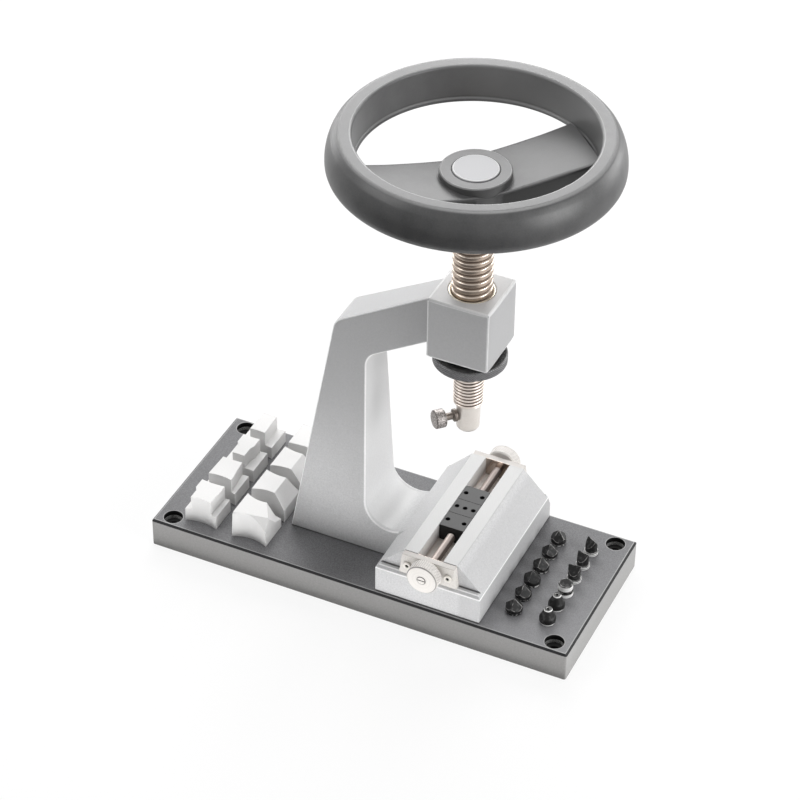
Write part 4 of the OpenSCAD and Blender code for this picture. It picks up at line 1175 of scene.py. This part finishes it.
nylon = white_nylon()
for number in range(1, 9):
    dressed("block_%d" % number, 0.8, nylon)

# ------------------------------------------------------------------ chucks
# Twelve steel inserts stand on their shanks in the plate. They are turned,
# milled to ridges, cones or points, and blackened; their collars are bright.


def chuck_steel(kind, *bright):
    """Black oxide with patches painted lighter as painted sheen; bright lists
    the bands of height over the plate that are left bare, and on the pointed
    ones scuffs break them into spots that are bare steel and painted glints."""
    f = Finish("chuck_" + kind)
    grain = f.cloud(0.6, 3.0, 0.65)
    scuff = f.cloud(2.6, 2.0, 0.5)
    bare = sum(f.band(f.z, PLATE_TOP + low, PLATE_TOP + high, 0.12)
               for low, high in bright)
    if kind == "point":
        # On the pointed ones the bare collar is broken into spots that are
        # bare steel and painted glints.
        bare = bare * f.step(scuff, 0.46, 0.60)
    # Lighter patches on the black are painted sheen.
    painted_sheen = 0.6 * f.step(scuff, 0.50, 0.66) * grain
    steel = f.blend(grain, (0.74, 0.74, 0.73), (0.97, 0.97, 0.96))
    return f.done(f.laid(f.blend(grain, 0.003, 0.020), (painted_sheen, 0.12),
                         (bare, steel)),
                  0.32 + 0.14 * grain, 0.0, 0.015 * grain,
                  specular=0.05 if kind == "step" else 0.22)


def rubbed_highlight_steel():
    """Edges where the black has rubbed through to grey steel, painted lighter
    also as painted edge highlights.
    """
    f = Finish("rubbed_highlight_steel")
    scuff = f.step(f.cloud(3.0, 3.0, 0.6), 0.42, 0.62)
    return f.done(f.blend(scuff, 0.012, (0.24, 0.235, 0.23)),
                  0.34, 0.3, 0.006 * scuff)


rubbed_edge_highlight = rubbed_highlight_steel()
chuck_kinds = [(chuck_steel("point", (-1.0, 1.4)), range(1, 7)),
               (chuck_steel("cone", (-1.0, 1.6), (10.7, 11.4)), (7, 8)),
               (chuck_steel("step", (-1.0, 2.9), (5.2, 8.7)), (9,)),
               (chuck_steel("ridge", (-1.0, 1.0), (1.4, 2.95)),
                range(10, 13))]
for finish, numbers in chuck_kinds:
    for number in numbers:
        # Their eased edges take the rubbed finish: worn grey and painted edge
        # highlights.
        dressed("chuck_%d" % number, 0.32, finish,
                rubbed_edge_highlight)

# ------------------------------------------------------------------- studio
# A pale floor and soft lamps: a strong one high behind, one above, one from
# the right, low ones behind on both sides, one high in front and a faint one
# under the plate's front, with the camera where the photograph was taken.


def softbox(name, place, wide, high, power, aim=(0.0, 0.0, 0.12)):
    """A lamp of that width and height in metres which faces its aim."""
    data = bpy.data.lights.new(name, "AREA")
    data.shape = "RECTANGLE"
    data.size, data.size_y = wide, high
    data.energy = power
    lamp = placed(name, data)
    back = np.asarray(place, float) - aim
    back /= np.linalg.norm(back)
    right = np.cross((1.0, 0.0, 0.01) if abs(back[2]) > 0.99
                     else (0.0, 0.0, 1.0), back)
    right /= np.linalg.norm(right)
    up = np.cross(back, right)
    turn = Matrix(np.array([right, up, back]).T.tolist()).to_4x4()
    lamp.matrix_world = Matrix.Translation(place) @ turn
    lamp.visible_camera = False
    return lamp


softbox("back_light", (-0.60, 1.45, 1.20), 1.3, 1.3, 31.0)
softbox("top_light", (0.15, 0.25, 2.10), 1.1, 1.1, 15.0)
softbox("right_light", (1.75, -0.20, 0.65), 1.0, 1.0, 21.5)
softbox("right_rim", (1.15, 1.55, 0.45), 0.9, 0.9, 13.0)
softbox("left_rim", (-1.65, 0.85, 0.45), 0.9, 0.9, 9.0)
softbox("left_high", (-1.25, -0.85, 1.35), 0.9, 0.9, 10.3)
low = softbox("low_fill", (-0.02, -0.18, 0.002), 0.22, 0.60, 0.74,
              (-0.02, -0.18, 1.0))
low.visible_glossy = False


def paper_sheet(name, corner, across, z, material):
    """A level rectangle that isn't part of the object, in metres: from its
    near left corner, by its width and depth."""
    (x, y), (wide, deep) = corner, across
    mesh = bpy.data.meshes.new(name)
    mesh.from_pydata([(x, y, z), (x + wide, y, z), (x + wide, y + deep, z),
                      (x, y + deep, z)], [], [(0, 1, 2, 3)])
    mesh.materials.append(material)
    sheet = placed(name, mesh)
    return sheet


def seen_plainly(shader):
    """1 for rays from the camera and for those from gloss and glass."""
    return shader.most(*(
        shader.node("ShaderNodeLightPath", out="Is %s Ray" % ray)
        for ray in ("Camera", "Glossy", "Transmission")))


def floor_finish():
    """White to the camera, with the part's soft shadow left in it; for the
    light that it gives back to the part its colour is a painted pool of light,
    pale close by and dark further off."""
    f = Finish("floor_white")
    seen = seen_plainly(f)
    # A painted pool of light: pale near the part, dark further off.
    painted_light_pool = f.blend(f.step(f.away(f.x, f.y), 230.0, 480.0), 0.95, 0.12)
    paper = f.node("ShaderNodeBsdfDiffuse", {}, {
        "Color": f.blend(seen, painted_light_pool, 0.86)})
    glow = f.node("ShaderNodeEmission", {}, {"Strength": 1.0})
    both = f.node("ShaderNodeMixShader", {}, {0: seen * 0.85, 1: paper,
                                              2: glow})
    f.node("ShaderNodeOutputMaterial", {}, {"Surface": both}, out=None)
    return f.holder


# A dark mat in front keeps the wheel's foot and the threads from turning
# white in their reflections; it is seen in nothing else.
mat = paper_sheet("dark_mat", (-1.0, -1.8), (1.9, 1.56), 0.001,
                  Finish("dark_mat").done(0.02, 0.9))
mat.visible_camera = mat.visible_diffuse = mat.visible_shadow = False
paper_sheet("floor", (-4.0, -4.0), (8.0, 8.0), 0.0, floor_finish())

world = bpy.data.worlds.new("studio")
bpy.context.scene.world = world
sky = Shader(world)
glow = sky.node("ShaderNodeBackground", {}, {
    "Strength": 0.14 + 0.86 * seen_plainly(sky)})
sky.node("ShaderNodeOutputWorld", {}, {"Surface": glow}, out=None)

# The camera's turn and place were found from the edges of plate, head and
# wheel in the photograph; the shot is a long one with little perspective. Its
# place is counted from a point over the plate's middle.
AZIMUTH, ELEVATION, ROLL = np.radians([24.85, 38.66, 0.71])
FOCAL, PICTURE, SENSOR = 2791.24, 800.0, 36.0
SHIFT_X, SHIFT_Y, AWAY = 3.61, 25.62, 1815.68
MIDDLE = (0.0, 0.0, 100.0)

back = np.array([np.sin(AZIMUTH) * np.cos(ELEVATION),
                 -np.cos(AZIMUTH) * np.cos(ELEVATION), np.sin(ELEVATION)])
right = np.array([np.cos(AZIMUTH), np.sin(AZIMUTH), 0.0])
up = np.cross(back, right)
c, n = np.cos(ROLL), np.sin(ROLL)
turn = np.array([[c, n, 0.0], [-n, c, 0.0], [0.0, 0.0, 1.0]]) @ np.array(
    [right, up, back])
place = turn.T @ np.array([SHIFT_X, SHIFT_Y, AWAY]) + MIDDLE
lens = bpy.data.cameras.new("camera")
lens.sensor_width = SENSOR
lens.lens = FOCAL * SENSOR / PICTURE
lens.clip_end = 50.0
camera = placed("camera", lens)
camera.matrix_world = (Matrix.Translation((place * MM).tolist())
                       @ Matrix(turn.T.tolist()).to_4x4())
bpy.context.scene.camera = camera
bpy.context.scene.view_settings.view_transform = "Standard"
